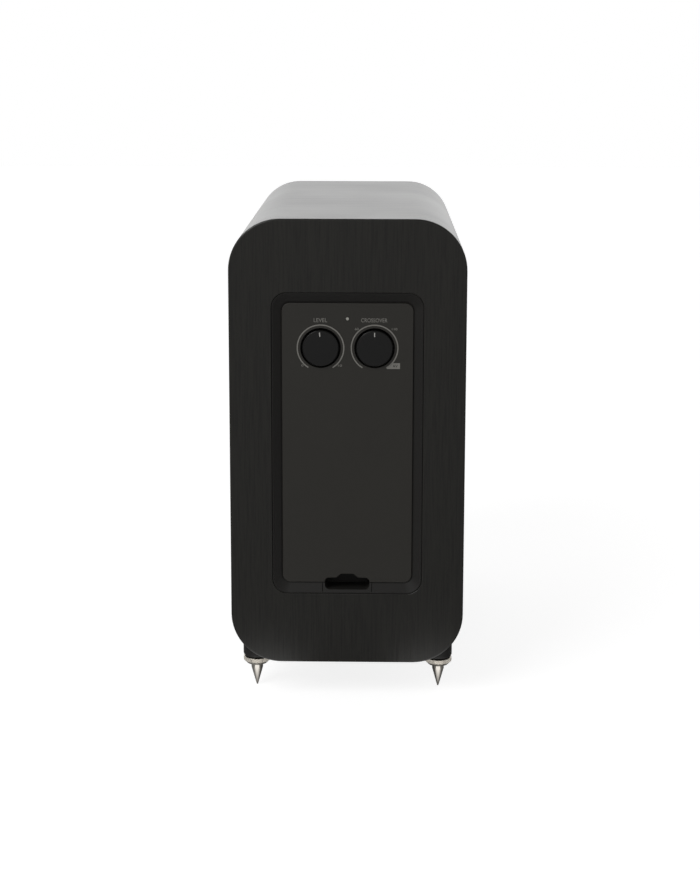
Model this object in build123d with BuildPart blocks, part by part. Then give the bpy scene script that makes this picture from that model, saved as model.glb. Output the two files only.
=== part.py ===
"""Slim active subwoofer on spiked feet, with its side-firing driver and rear control bay.

Millimetres, +Z up. The origin is on the floor under the middle of the cabinet.
-Y is the rear, with the controls. +Y is the plain front. -X is the driver side.
"""

import os
from math import cos, radians, sin

from build123d import *

os.makedirs("parts", exist_ok=True)

# ---------------------------------------------------------------- driving dimensions
BODY_W = 202.0  # cabinet width, X
BODY_D = 380.0  # cabinet depth, Y
BODY_H = 390.0  # cabinet height, Z
FOOT_H = 33.0  # floor to the underside of the cabinet
BOARD = 18.0  # every cabinet board
CORNER_R = 44.0  # outer radius of the four long edges
EDGE_R = 1.5  # rounding round the rear and front faces
GLUE = 0.1  # glue line round a board that is let in

REAR_Y = -BODY_D / 2
FRONT_Y = BODY_D / 2
MID_Z = FOOT_H + BODY_H / 2
WALL_X = -BODY_W / 2 + BOARD  # inner face of the driver-side wall
INNER_W = BODY_W - 2 * BOARD
INNER_H = BODY_H - 2 * BOARD
INNER_R = CORNER_R - BOARD

# Recess for the amplifier tray in the rear panel
POCKET_W, POCKET_H, POCKET_R, POCKET_DEPTH = 129.4, 264.7, 13.0, 10.0
TRAY_GAP = 0.3
TUB_W, TUB_H, TUB_R = 95.4, 229.4, 7.7
TUB_WALL = 2.8

# Removable cover over the tray
COVER_W, COVER_H, COVER_R, COVER_T = 112.0, 246.0, 7.0, 3.0
SEAT_Y = REAR_Y + 6.6  # ledge that the cover lies on
COVER_BACK_Y = SEAT_Y - 0.1
COVER_FRONT_Y = COVER_BACK_Y - COVER_T
LEDGE_X = 52.1  # middle of the ledge, where its screws and magnets are
TRAY_SCREWS = [(side * LEDGE_X, up) for side in (-1, 1) for up in (-95, -32, 32, 95)]
TRAY_SCREW_R = 1.9

# The two dials, measured from the middle of the rear face
DIAL_X, DIAL_UP = 23.0, 84.4
KNOB_R = 15.5
KNOB_FRONT_Y = REAR_Y + 1.0
SHAFT_R = 3.0
LED_UP = 109.5
LED_R = 1.4  # dot on the cover

# Cable way at the foot of the cover
SLOT_HALF_W = 19.4
SLOT_LOW, SLOT_TOP = -129.0, -119.0  # from the middle of the rear face
HUMP_TOP = -115.5

# Driver
DRIVER_Y, DRIVER_Z = 30.0, MID_Z
GRILLE_HOLE_R = 113.3
BASKET_HOLE_R = 93.0
CONE_R = 78.0
COIL_R = 19.6  # outside of the coil former

# Feet
FOOT_X, FOOT_Y = 81.0, 158.0
POD_R = 12.2
POD_LOW = 27.5
RING_LOW = 21.0
INSERT_R, INSERT_TOP = 6.0, 57.0  # threaded inserts in the base
STUD_R = 3.94
SPIKE_R = 5.2


# ---------------------------------------------------------------- planes and helpers
def rear_view(y):
    """Plane facing the rear, centred on the rear face, X to the right and Z up."""
    return Plane(origin=(0, y, MID_Z), x_dir=(1, 0, 0), z_dir=(0, -1, 0))


def driver_view(x):
    """Plane facing the driver side, centred on the driver axis, Z up."""
    return Plane(origin=(x, DRIVER_Y, DRIVER_Z), x_dir=(0, -1, 0), z_dir=(-1, 0, 0))


DRIVER_SECTION = Plane(origin=(0, DRIVER_Y, DRIVER_Z), x_dir=(1, 0, 0), z_dir=(0, -1, 0))
DRIVER_AXIS = Axis((0, DRIVER_Y, DRIVER_Z), (1, 0, 0))


def on_driver_axis(outline):
    """A ring or disc turned about the driver axis from its (x, radius) outline."""
    with BuildPart() as turned:
        with BuildSketch(DRIVER_SECTION):
            with BuildLine():
                Polyline(*outline, close=True)
            make_face()
        revolve(axis=DRIVER_AXIS)
    return turned


def tube_outline(x0, x1, inner_r, outer_r):
    return [(x0, inner_r), (x0, outer_r), (x1, outer_r), (x1, inner_r)]


def keep(piece, name):
    """Label a finished piece and write its STEP file."""
    piece.part.label = name
    export_step(piece.part, f"parts/{name}.step")


# ---------------------------------------------------------------- cabinet
# The sleeve: two sides, top and base wrapped round four big corners.
HOLE_EDGE = 0.8  # broken edge of the openings in the boards
with BuildPart() as cabinet_sleeve:
    with BuildSketch(rear_view(FRONT_Y - BOARD)):
        RectangleRounded(BODY_W, BODY_H, CORNER_R)
        RectangleRounded(INNER_W, INNER_H, INNER_R, mode=Mode.SUBTRACT)
    extrude(amount=BODY_D - 2 * BOARD)
    # round opening for the driver and its grille
    with BuildSketch(driver_view(WALL_X)):
        Circle(GRILLE_HOLE_R)
    extrude(amount=BOARD, mode=Mode.SUBTRACT)
    chamfer(cabinet_sleeve.faces().sort_by(Axis.X)[0].inner_wires().edges(), HOLE_EDGE)
    # blind holes for the four threaded inserts
    with BuildSketch(Plane.XY.offset(FOOT_H)):
        with GridLocations(2 * FOOT_X, 2 * FOOT_Y, 2, 2):
            Circle(INSERT_R)
    extrude(amount=INSERT_TOP - FOOT_H, mode=Mode.SUBTRACT)
keep(cabinet_sleeve, "cabinet_sleeve")

# The front: a plain board over the end of the sleeve.
with BuildPart() as front_panel:
    with BuildSketch(rear_view(FRONT_Y)):
        RectangleRounded(BODY_W, BODY_H, CORNER_R)
    extrude(amount=BOARD)
    fillet(front_panel.faces().sort_by(Axis.Y)[-1].edges(), EDGE_R)
keep(front_panel, "front_panel")

# The rear: the same board with a recess for the tray and an opening for its tub.
CHANNEL_HALF_W = 22.0  # outside of the tray's cable channel
CHANNEL_LOW = SLOT_LOW - 2.0
CHANNEL_RISE = 20.0  # the channel runs up into the tub
with BuildPart() as rear_panel:
    with BuildSketch(rear_view(REAR_Y + BOARD)):
        RectangleRounded(BODY_W, BODY_H, CORNER_R)
    extrude(amount=BOARD)
    fillet(rear_panel.faces().sort_by(Axis.Y)[0].edges(), EDGE_R)
    with BuildSketch(rear_view(REAR_Y)):
        RectangleRounded(POCKET_W, POCKET_H, POCKET_R)
    extrude(amount=-POCKET_DEPTH, mode=Mode.SUBTRACT)
    with BuildSketch(rear_view(REAR_Y)):
        RectangleRounded(TUB_W + 2 * TRAY_GAP, TUB_H + 2 * TRAY_GAP, TUB_R + TRAY_GAP)
        with Locations((0, CHANNEL_LOW - TRAY_GAP)):
            Rectangle(
                2 * (CHANNEL_HALF_W + TRAY_GAP), CHANNEL_RISE, align=(Align.CENTER, Align.MIN)
            )
        with Locations(*TRAY_SCREWS):
            Circle(TRAY_SCREW_R)
    extrude(amount=-BOARD, mode=Mode.SUBTRACT)
    rear_face = rear_panel.faces().filter_by(Plane.XZ).sort_by(Axis.Y)[0]
    fillet(rear_face.inner_wires().edges(), HOLE_EDGE)
keep(rear_panel, "rear_panel")

# A doubler glued inside the driver-side wall, which the driver is screwed to.
DOUBLER = 230.0
DRIVER_SCREWS, DRIVER_SCREW_RING_R = 8, 98.5
DRIVER_SCREW_R = 1.7
STRIKERS, STRIKER_RING_R = 6, 109.2
STRIKER_R, STRIKER_T = 3.0, 2.0
with BuildPart() as driver_baffle:
    with BuildSketch(driver_view(WALL_X)):
        RectangleRounded(DOUBLER, DOUBLER, 6)
        Circle(BASKET_HOLE_R, mode=Mode.SUBTRACT)
        with PolarLocations(DRIVER_SCREW_RING_R, DRIVER_SCREWS, start_angle=22.5):
            Circle(DRIVER_SCREW_R, mode=Mode.SUBTRACT)
    extrude(amount=-BOARD)
    with BuildSketch(driver_view(WALL_X)):
        with PolarLocations(STRIKER_RING_R, STRIKERS):
            Circle(STRIKER_R)
    extrude(amount=-STRIKER_T, mode=Mode.SUBTRACT)
keep(driver_baffle, "driver_baffle")

# Two window boards across the inside, which stiffen the long walls.
BRACE_T = 12.0
BRACE_YS = (-88.0, 160.0)  # the side of each brace that faces the front
WINDOW_W, WINDOW_H, WINDOW_R = 118.0, 306.0, 18.0
with BuildPart() as brace_frames:
    for brace_y in BRACE_YS:
        with BuildSketch(rear_view(brace_y)):
            RectangleRounded(INNER_W - 2 * GLUE, INNER_H - 2 * GLUE, INNER_R - GLUE)
            RectangleRounded(WINDOW_W, WINDOW_H, WINDOW_R, mode=Mode.SUBTRACT)
        extrude(amount=BRACE_T)
keep(brace_frames, "brace_frames")

# A pad of polyester wadding on the wall behind the magnet.
PAD_T, PAD_D, PAD_H = 36.0, 216.0, 294.0
PAD_R, PAD_GAP = 10.0, 0.3
with BuildPart() as damping_wadding:
    with Locations(((INNER_W - PAD_T) / 2 - PAD_GAP, DRIVER_Y, MID_Z)):
        Box(PAD_T, PAD_D, PAD_H)
    fillet(damping_wadding.edges(), PAD_R)
keep(damping_wadding, "damping_wadding")

# ---------------------------------------------------------------- amplifier tray
RIM_FRONT_Y = REAR_Y + 0.4
RIM_BACK_Y = REAR_Y + 4.6  # foot of the sloping rim round the cover
FLANGE_BACK_Y = REAR_Y + POCKET_DEPTH - 0.8
BAY_BACK_Y = -125.0  # back of the connector bay
DECK_BACK_Y = -174.0  # back of the deck that carries the dials
DECK_FRONT_Y = DECK_BACK_Y - 2.5
SHELF_LOW, SHELF_TOP = 50.0, 53.0  # roof of the bay, from the middle of the rear face
BAY_LOW = -TUB_H / 2 + TUB_WALL
CHANNEL_BACK_Y = -168.0
INLET_X, INLET_Y = -22.0, -154.0
INLET_W, INLET_D = 27.0, 20.0
LINE_XS, LINE_Y = (6.0, 20.0, 34.0), -154.0
ROCKER_X, ROCKER_UP = -22.0, -52.0
SLIDER_X, MODE_UP, PHASE_UP = 18.0, -38.0, -66.0
COVER_MAGNETS = [(side * LEDGE_X, up) for side in (-1, 1) for up in (-110, 110)]
LEDGE_DISC_R, LEDGE_DISC_T = 3.5, 1.0
SOCKET_BUSH_R = 5.0
ROCKER_HOLE_W, ROCKER_HOLE_H = 19.4, 21.4
SLIDER_HOLE_W, SLIDER_HOLE_H = 9.6, 4.4

with BuildPart() as amp_tray:
    # rim and flange, which fill the recess
    with BuildSketch(rear_view(FLANGE_BACK_Y)):
        RectangleRounded(
            POCKET_W - 2 * TRAY_GAP, POCKET_H - 2 * TRAY_GAP, POCKET_R - TRAY_GAP
        )
    extrude(amount=FLANGE_BACK_Y - RIM_FRONT_Y)
    # outside of the connector bay, the deck box and the cable channel
    with BuildSketch(rear_view(BAY_BACK_Y)):
        with Locations((0, (SHELF_TOP - TUB_H / 2) / 2)):
            RectangleRounded(TUB_W, SHELF_TOP + TUB_H / 2, TUB_R)
    extrude(amount=BAY_BACK_Y - FLANGE_BACK_Y)
    with BuildSketch(rear_view(DECK_BACK_Y)):
        RectangleRounded(TUB_W, TUB_H, TUB_R)
    extrude(amount=DECK_BACK_Y - FLANGE_BACK_Y)
    with BuildSketch(rear_view(CHANNEL_BACK_Y + 2)):
        with Locations((0, CHANNEL_LOW)):
            Rectangle(2 * CHANNEL_HALF_W, CHANNEL_RISE, align=(Align.CENTER, Align.MIN))
    extrude(amount=CHANNEL_BACK_Y + 2 - FLANGE_BACK_Y)
    # the rim slopes in towards the cover
    with BuildSketch(rear_view(RIM_FRONT_Y)):
        RectangleRounded(POCKET_W - 2.2, POCKET_H - 2.2, POCKET_R - 1.1)
    with BuildSketch(rear_view(RIM_BACK_Y)):
        RectangleRounded(COVER_W + 1.2, COVER_H + 1.2, COVER_R + 0.6)
    loft(mode=Mode.SUBTRACT)
    # ledge for the cover
    with BuildSketch(rear_view(SEAT_Y)):
        RectangleRounded(COVER_W + 0.8, COVER_H + 0.8, COVER_R + 0.4)
    extrude(amount=SEAT_Y - REAR_Y, mode=Mode.SUBTRACT)
    # inside of the bay, the deck and the cable channel
    with BuildSketch(rear_view(BAY_BACK_Y - TUB_WALL)):
        with Locations((0, (SHELF_LOW + BAY_LOW) / 2)):
            RectangleRounded(TUB_W - 2 * TUB_WALL, SHELF_LOW - BAY_LOW, 3)
    extrude(amount=BAY_BACK_Y - TUB_WALL - SEAT_Y, mode=Mode.SUBTRACT)
    with BuildSketch(rear_view(DECK_FRONT_Y)):
        with Locations((0, (SHELF_TOP + TUB_H / 2 - TUB_WALL) / 2)):
            RectangleRounded(TUB_W - 2 * TUB_WALL, TUB_H / 2 - TUB_WALL - SHELF_TOP, 3)
    extrude(amount=DECK_FRONT_Y - SEAT_Y, mode=Mode.SUBTRACT)
    with BuildSketch(rear_view(CHANNEL_BACK_Y)):
        with Locations((0, SLOT_LOW)):
            RectangleRounded(
                2 * SLOT_HALF_W, BAY_LOW - SLOT_LOW + 5, 4, align=(Align.CENTER, Align.MIN)
            )
    extrude(amount=CHANNEL_BACK_Y - REAR_Y, mode=Mode.SUBTRACT)
    # witness lines of the cable gate beside the slot
    with BuildSketch(rear_view(RIM_BACK_Y + 0.6)):
        with Locations((-21.4, -127.3), (21.4, -127.3)):
            Rectangle(0.5, 7)
    extrude(amount=6, mode=Mode.SUBTRACT)
    # sockets in the roof of the bay
    with BuildSketch(Plane.XY.offset(MID_Z + SHELF_LOW - 1)):
        with Locations((INLET_X, INLET_Y)):
            Rectangle(INLET_W + 0.4, INLET_D + 0.4)
        with Locations(*[(x, LINE_Y) for x in LINE_XS]):
            Circle(SOCKET_BUSH_R)
    extrude(amount=SHELF_TOP - SHELF_LOW + 2, mode=Mode.SUBTRACT)
    # switches in the back wall of the bay
    with BuildSketch(rear_view(BAY_BACK_Y + 1)):
        with Locations((ROCKER_X, ROCKER_UP)):
            Rectangle(ROCKER_HOLE_W, ROCKER_HOLE_H)
        with Locations((SLIDER_X, MODE_UP), (SLIDER_X, PHASE_UP)):
            Rectangle(SLIDER_HOLE_W, SLIDER_HOLE_H)
    extrude(amount=TUB_WALL + 2, mode=Mode.SUBTRACT)
    # dial bushes and light pipe through the deck
    with BuildSketch(rear_view(DECK_BACK_Y + 1)):
        with Locations((-DIAL_X, DIAL_UP), (DIAL_X, DIAL_UP)):
            Circle(3.8)
        with Locations((0, LED_UP)):
            Circle(1.5)
    extrude(amount=5, mode=Mode.SUBTRACT)
    # strikers and screws in the ledge
    with BuildSketch(rear_view(SEAT_Y)):
        with Locations(*COVER_MAGNETS):
            Circle(LEDGE_DISC_R)
    extrude(amount=-LEDGE_DISC_T, mode=Mode.SUBTRACT)
    with Locations(rear_view(SEAT_Y)):
        with Locations(*TRAY_SCREWS):
            CounterSinkHole(radius=2.1, counter_sink_radius=3.9, depth=5)
keep(amp_tray, "amp_tray")

# Foam gasket between the flange and the recess, cut through where the channel passes.
with BuildPart() as tray_gasket:
    with BuildSketch(rear_view(REAR_Y + POCKET_DEPTH)):
        RectangleRounded(POCKET_W - 2, POCKET_H - 2, POCKET_R - 1)
        RectangleRounded(TUB_W + 1.2, TUB_H + 1.2, TUB_R + 0.6, mode=Mode.SUBTRACT)
        with Locations((0, -TUB_H / 2)):
            Rectangle(2 * CHANNEL_HALF_W + 1.2, 60, mode=Mode.SUBTRACT)
        with Locations(*TRAY_SCREWS):
            Circle(2.4, mode=Mode.SUBTRACT)
    extrude(amount=REAR_Y + POCKET_DEPTH - FLANGE_BACK_Y)
keep(tray_gasket, "tray_gasket")

# Eight countersunk screws that hold the tray; the cover hides them.
with BuildPart() as tray_screws:
    with Locations(rear_view(SEAT_Y)):
        with Locations(*TRAY_SCREWS):
            Cylinder(TRAY_SCREW_R, 9.5, align=(Align.CENTER, Align.CENTER, Align.MAX))
            Cone(TRAY_SCREW_R, 3.6, 1.7, align=(Align.CENTER, Align.CENTER, Align.MAX))
    with BuildSketch(rear_view(SEAT_Y)):
        with Locations(*TRAY_SCREWS):
            RegularPolygon(1.2, 6)
    extrude(amount=-1.2, mode=Mode.SUBTRACT)
keep(tray_screws, "tray_screws")

# Steel discs in the ledge, which the cover's magnets hold on to.
with BuildPart() as striker_plates:
    with BuildSketch(rear_view(SEAT_Y + LEDGE_DISC_T)):
        with Locations(*COVER_MAGNETS):
            Circle(LEDGE_DISC_R)
    extrude(amount=LEDGE_DISC_T)
keep(striker_plates, "striker_plates")

# ---------------------------------------------------------------- cover
HUMP_W, HUMP_SLOPE, HUMP_R = 19.0, 42, 2.0  # finger hump over the cable notch
NOTCH_R = 3.8
MAGNET_R, MAGNET_T = 3.0, 1.6
with BuildPart() as cover_plate:
    with BuildSketch(rear_view(COVER_BACK_Y)):
        RectangleRounded(COVER_W, COVER_H, COVER_R)
        with Locations((-DIAL_X, DIAL_UP), (DIAL_X, DIAL_UP)):
            Circle(KNOB_R + 1.8, mode=Mode.SUBTRACT)
        with Locations((0, LED_UP)):
            Circle(LED_R + 0.3, mode=Mode.SUBTRACT)
        # cable notch with a finger hump above it
        with Locations((0, -COVER_H / 2)):
            Rectangle(2 * SLOT_HALF_W, 2 * (SLOT_TOP + COVER_H / 2), mode=Mode.SUBTRACT)
        with Locations((0, (SLOT_TOP + HUMP_TOP) / 2)):
            Trapezoid(HUMP_W, HUMP_TOP - SLOT_TOP, HUMP_SLOPE, mode=Mode.SUBTRACT)
    extrude(amount=COVER_T)
    notch_edges = [
        e for e in cover_plate.edges().filter_by(Axis.Y)
        if SLOT_TOP - 0.3 < e.center().Z - MID_Z < HUMP_TOP + 0.3
    ]
    fillet([e for e in notch_edges if abs(e.center().X) > HUMP_W], NOTCH_R)
    fillet([e for e in notch_edges if abs(e.center().X) < HUMP_W], HUMP_R)
    front = cover_plate.faces().filter_by(Plane.XZ).sort_by(Axis.Y)[0]
    fillet(front.outer_wire().edges(), 0.5)
    with BuildSketch(rear_view(COVER_BACK_Y)):
        with Locations(*COVER_MAGNETS):
            Circle(MAGNET_R)
    extrude(amount=MAGNET_T, mode=Mode.SUBTRACT)
keep(cover_plate, "cover_plate")

with BuildPart() as cover_magnets:
    with BuildSketch(rear_view(COVER_BACK_Y)):
        with Locations(*COVER_MAGNETS):
            Circle(MAGNET_R)
    extrude(amount=MAGNET_T)
keep(cover_magnets, "cover_magnets")

# ---------------------------------------------------------------- dials
POT_BODY_BACK_Y = -165.0
KNOB_BACK_Y = DECK_FRONT_Y - 0.6
KNOB_RIBS = 72
POINTER_R = 11.9


def d_shape(radius, flat):
    """A round shaft's section with one flat, in the current sketch's frame."""
    with BuildSketch() as section:
        Circle(radius)
        with Locations((0, flat)):
            Rectangle(4 * radius, radius, align=(Align.CENTER, Align.MIN), mode=Mode.SUBTRACT)
    return section.sketch


def dial_shaft(x):
    with BuildPart() as shaft:
        with BuildSketch(rear_view(-166.0)):
            with Locations((x, DIAL_UP)):
                Circle(SHAFT_R)
        extrude(amount=-166.0 - KNOB_BACK_Y)
        with BuildSketch(rear_view(KNOB_BACK_Y)):
            with Locations((x, DIAL_UP)):
                add(d_shape(SHAFT_R, 1.5))
        extrude(amount=7.0)
    return shaft


def dial_knob(x, turn):
    """A flat-faced knob with a ribbed rim, a bore for the shaft and a pointer groove.

    turn is how far the pointer rests clockwise of twelve o'clock, in degrees.
    """
    with BuildPart() as knob:
        with BuildSketch(rear_view(KNOB_BACK_Y)):
            with Locations((x, DIAL_UP)):
                Circle(KNOB_R)
        extrude(amount=KNOB_BACK_Y - KNOB_FRONT_Y)
        chamfer(knob.faces().sort_by(Axis.Y)[0].edges(), 0.7)
        with BuildSketch(rear_view(KNOB_BACK_Y)):
            with Locations((x, DIAL_UP)):
                with PolarLocations(KNOB_R + 0.12, KNOB_RIBS):
                    Circle(0.42)
        extrude(amount=KNOB_BACK_Y - KNOB_FRONT_Y, mode=Mode.SUBTRACT)
        with BuildSketch(rear_view(KNOB_FRONT_Y)):
            with Locations((x, DIAL_UP)):
                with PolarLocations(POINTER_R, 1, start_angle=90 - turn):
                    Rectangle(3.8, 1.0)
        extrude(amount=-0.3, mode=Mode.SUBTRACT)
        with BuildSketch(rear_view(KNOB_BACK_Y)):
            with Locations((x, DIAL_UP)):
                add(d_shape(SHAFT_R + 0.03, 1.53))
        extrude(amount=7.4, mode=Mode.SUBTRACT)
    return knob


for dial, dial_x, rest_turn in (("level", -DIAL_X, -3.0), ("crossover", DIAL_X, 0.0)):
    keep(dial_shaft(dial_x), f"{dial}_shaft")
    keep(dial_knob(dial_x, rest_turn), f"{dial}_knob")

# Two potentiometers behind the deck, with their bushes through it.
with BuildPart() as potentiometers:
    for dial_x in (-DIAL_X, DIAL_X):
        with BuildSketch(rear_view(POT_BODY_BACK_Y)):
            with Locations((dial_x, DIAL_UP)):
                RectangleRounded(16.5, 16.5, 1.5)
        extrude(amount=POT_BODY_BACK_Y - DECK_BACK_Y)
        with BuildSketch(rear_view(DECK_BACK_Y)):
            with Locations((dial_x, DIAL_UP)):
                Circle(3.6)
        extrude(amount=DECK_BACK_Y - DECK_FRONT_Y)
        with BuildSketch(rear_view(-165.8)):
            with Locations((dial_x, DIAL_UP)):
                Circle(SHAFT_R + 0.05)
        extrude(amount=12, mode=Mode.SUBTRACT)
keep(potentiometers, "potentiometers")

# Clear rod that brings the status light to the face of the cover.
LED_Y = -167.0
with BuildPart() as led_light_pipe:
    with BuildSketch(rear_view(LED_Y)):
        with Locations((0, LED_UP)):
            Circle(LED_R)
    extrude(amount=LED_Y - COVER_FRONT_Y)
    fillet(led_light_pipe.faces().sort_by(Axis.Y)[0].edges(), 0.5)
keep(led_light_pipe, "led_light_pipe")

# Small board that carries the potentiometers and the status light.
with BuildPart() as control_board:
    with BuildSketch(rear_view(POT_BODY_BACK_Y + 1.6)):
        with Locations((0, 93.0)):
            Rectangle(86, 40)
    extrude(amount=1.6)
    with BuildSketch(rear_view(POT_BODY_BACK_Y)):
        with Locations((0, LED_UP)):
            Circle(1.5)
    extrude(amount=POT_BODY_BACK_Y - LED_Y)
    with BuildSketch(rear_view(POT_BODY_BACK_Y + 1.6)):
        with Locations((-34, 92), (34, 92)):
            Rectangle(8, 20)
        with Locations((-8, 84), (4, 90)):
            Rectangle(7, 9)
    extrude(amount=-2.2)
keep(control_board, "control_board")

# ---------------------------------------------------------------- sockets and switches
INLET_FACE_Z = MID_Z + SHELF_LOW - 1.8  # underside of its flange
INLET_TOP_Z = MID_Z + SHELF_TOP + 19.0
INLET_FLANGE_T, INLET_DEPTH = 1.8, 15.5
BLADE_W, BLADE_D = 2.0, 4.0
with BuildPart() as mains_inlet:
    # flange under the shelf and body above it
    with BuildSketch(Plane.XY.offset(INLET_FACE_Z)):
        with Locations((INLET_X, INLET_Y)):
            RectangleRounded(INLET_W + 4, INLET_D + 4, 2)
    extrude(amount=INLET_FLANGE_T)
    with BuildSketch(Plane.XY.offset(INLET_FACE_Z + INLET_FLANGE_T)):
        with Locations((INLET_X, INLET_Y)):
            Rectangle(INLET_W, INLET_D)
    extrude(amount=INLET_TOP_Z - INLET_FACE_Z - INLET_FLANGE_T)
    # the six-sided socket, narrower towards the front
    half_w, half_d, cut = 12.1, 8.1, 4.2
    with BuildSketch(Plane.XY.offset(INLET_FACE_Z)):
        with BuildLine():
            Polyline(
                (INLET_X - half_w, INLET_Y + half_d),
                (INLET_X + half_w, INLET_Y + half_d),
                (INLET_X + half_w, INLET_Y - half_d + cut),
                (INLET_X + half_w - cut, INLET_Y - half_d),
                (INLET_X - half_w + cut, INLET_Y - half_d),
                (INLET_X - half_w, INLET_Y - half_d + cut),
                close=True,
            )
        make_face()
    extrude(amount=INLET_DEPTH, mode=Mode.SUBTRACT)
    # slots for the three blades
    PIN_PLACES = [(INLET_X - 7, INLET_Y + 2), (INLET_X + 7, INLET_Y + 2), (INLET_X, INLET_Y - 2)]
    with BuildSketch(Plane.XY.offset(INLET_FACE_Z + INLET_DEPTH)):
        with Locations(*PIN_PLACES):
            Rectangle(BLADE_W, BLADE_D)
    extrude(amount=10, mode=Mode.SUBTRACT)
keep(mains_inlet, "mains_inlet")

with BuildPart() as mains_pins:
    with BuildSketch(Plane.XY.offset(INLET_FACE_Z + 2.5)):
        with Locations(*PIN_PLACES):
            Rectangle(BLADE_W, BLADE_D)
    extrude(amount=INLET_TOP_Z - INLET_FACE_Z + 2.5)
keep(mains_pins, "mains_pins")

SOCKET_TIP_Z = MID_Z + SHELF_LOW - 9.0
SOCKET_TOP_Z = MID_Z + SHELF_TOP + 7.0
SOCKET_R, SOCKET_BORE_R = 4.15, 3.4
SOCKET_DEPTH = 12.0
with BuildPart() as line_socket_shells:
    for line_x in LINE_XS:
        with BuildSketch(Plane.XY.offset(SOCKET_TIP_Z)):
            with Locations((line_x, LINE_Y)):
                Circle(SOCKET_R)
        extrude(amount=SOCKET_TOP_Z - SOCKET_TIP_Z)
        with BuildSketch(Plane.XY.offset(MID_Z + SHELF_LOW - 1.2)):
            with Locations((line_x, LINE_Y)):
                Circle(6.3)
        extrude(amount=1.2)
        with BuildSketch(Plane.XY.offset(MID_Z + SHELF_LOW)):
            with Locations((line_x, LINE_Y)):
                Circle(SOCKET_BUSH_R - 0.1)
        extrude(amount=SHELF_TOP - SHELF_LOW)
        with BuildSketch(Plane.XY.offset(SOCKET_TIP_Z)):
            with Locations((line_x, LINE_Y)):
                Circle(SOCKET_BORE_R)
        extrude(amount=SOCKET_TOP_Z - SOCKET_TIP_Z, mode=Mode.SUBTRACT)
keep(line_socket_shells, "line_socket_shells")

with BuildPart() as line_socket_cores:
    for line_x in LINE_XS:
        with BuildSketch(Plane.XY.offset(SOCKET_TIP_Z + 0.6)):
            with Locations((line_x, LINE_Y)):
                Circle(SOCKET_BORE_R)
                Circle(1.65, mode=Mode.SUBTRACT)
        extrude(amount=SOCKET_DEPTH)
        with BuildSketch(Plane.XY.offset(SOCKET_TIP_Z + 0.6 + SOCKET_DEPTH)):
            with Locations((line_x, LINE_Y)):
                Circle(SOCKET_BORE_R)
        extrude(amount=SOCKET_TOP_Z - SOCKET_TIP_Z - SOCKET_DEPTH + 2.4)
keep(line_socket_cores, "line_socket_cores")

# Rocker switch: a housing in the back wall and a paddle on two stub pins.
WALL_FACE_Y = BAY_BACK_Y - TUB_WALL
PIVOT_Y = WALL_FACE_Y + 4.2
PADDLE_W, PADDLE_TILT = 11.0, 10.0
PIVOT = (ROCKER_X, PIVOT_Y, MID_Z + ROCKER_UP)
PIVOT_R = 1.2
with BuildPart() as rocker_housing:
    with BuildSketch(rear_view(WALL_FACE_Y)):
        with Locations((ROCKER_X, ROCKER_UP)):
            RectangleRounded(22.5, 24.5, 2)
    extrude(amount=1.5)
    with BuildSketch(rear_view(WALL_FACE_Y)):
        with Locations((ROCKER_X, ROCKER_UP)):
            Rectangle(ROCKER_HOLE_W - 0.4, ROCKER_HOLE_H - 0.4)
    extrude(amount=-16.0)
    with BuildSketch(rear_view(WALL_FACE_Y - 1.5)):
        with Locations((ROCKER_X, ROCKER_UP)):
            Rectangle(PADDLE_W + 0.8, 18.2)
    extrude(amount=-12.5, mode=Mode.SUBTRACT)
    with BuildSketch(Plane(origin=PIVOT, x_dir=(0, -1, 0), z_dir=(1, 0, 0))):
        Circle(PIVOT_R + 0.05)
    extrude(amount=7.5, both=True, mode=Mode.SUBTRACT)
keep(rocker_housing, "rocker_housing")

# The paddle's side view as (out, up) from its pivot, level; it rests tilted one way.
PADDLE = [(-3.5, -2.5), (2.2, -7.4), (6.3, -7.6), (5.0, 0), (6.3, 7.6), (2.2, 7.4), (-3.5, 2.5)]
tilt_cos, tilt_sin = cos(radians(PADDLE_TILT)), sin(radians(PADDLE_TILT))
tilted_paddle = [(u * tilt_cos - v * tilt_sin, u * tilt_sin + v * tilt_cos) for u, v in PADDLE]
with BuildPart() as power_rocker:
    with BuildSketch(Plane(origin=PIVOT, x_dir=(0, -1, 0), z_dir=(-1, 0, 0))):
        with BuildLine():
            Polyline(*tilted_paddle, close=True)
        make_face()
    extrude(amount=PADDLE_W / 2, both=True)
    with BuildSketch(Plane(origin=PIVOT, x_dir=(0, -1, 0), z_dir=(-1, 0, 0))):
        Circle(PIVOT_R)
    extrude(amount=7.0, both=True)
keep(power_rocker, "power_rocker")

# Two slide switches behind the same wall, each with a small finger through a slot.
with BuildPart() as slide_switch_bodies:
    for up in (MODE_UP, PHASE_UP):
        with BuildSketch(rear_view(BAY_BACK_Y)):
            with Locations((SLIDER_X, up)):
                Rectangle(16, 8)
        extrude(amount=-6)
        with BuildSketch(rear_view(BAY_BACK_Y)):
            with Locations((SLIDER_X, up)):
                Rectangle(SLIDER_HOLE_W, SLIDER_HOLE_H)
        extrude(amount=-3.5, mode=Mode.SUBTRACT)
keep(slide_switch_bodies, "slide_switch_bodies")


def slider_finger(x, up):
    with BuildPart() as finger:
        with BuildSketch(rear_view(BAY_BACK_Y + 3.2)):
            with Locations((x, up)):
                Rectangle(4.2, 3.8)
        extrude(amount=3.2 + TUB_WALL + 2.6)
        chamfer(finger.faces().sort_by(Axis.Y)[0].edges(), 0.4)
    return finger


keep(slider_finger(SLIDER_X, MODE_UP), "mode_slider")
keep(slider_finger(SLIDER_X - 1.5, PHASE_UP), "phase_slider")

# ---------------------------------------------------------------- electronics
BOARD_BACK_Y = -108.0  # side of the main board that faces the bay
BOARD_T = 1.6
BOARD_UP = -30.0
BOARD_W, BOARD_H = 90.0, 160.0
STANDOFFS = [(sx * 40, BOARD_UP + sz * 74) for sx in (-1, 1) for sz in (-1, 1)]

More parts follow.
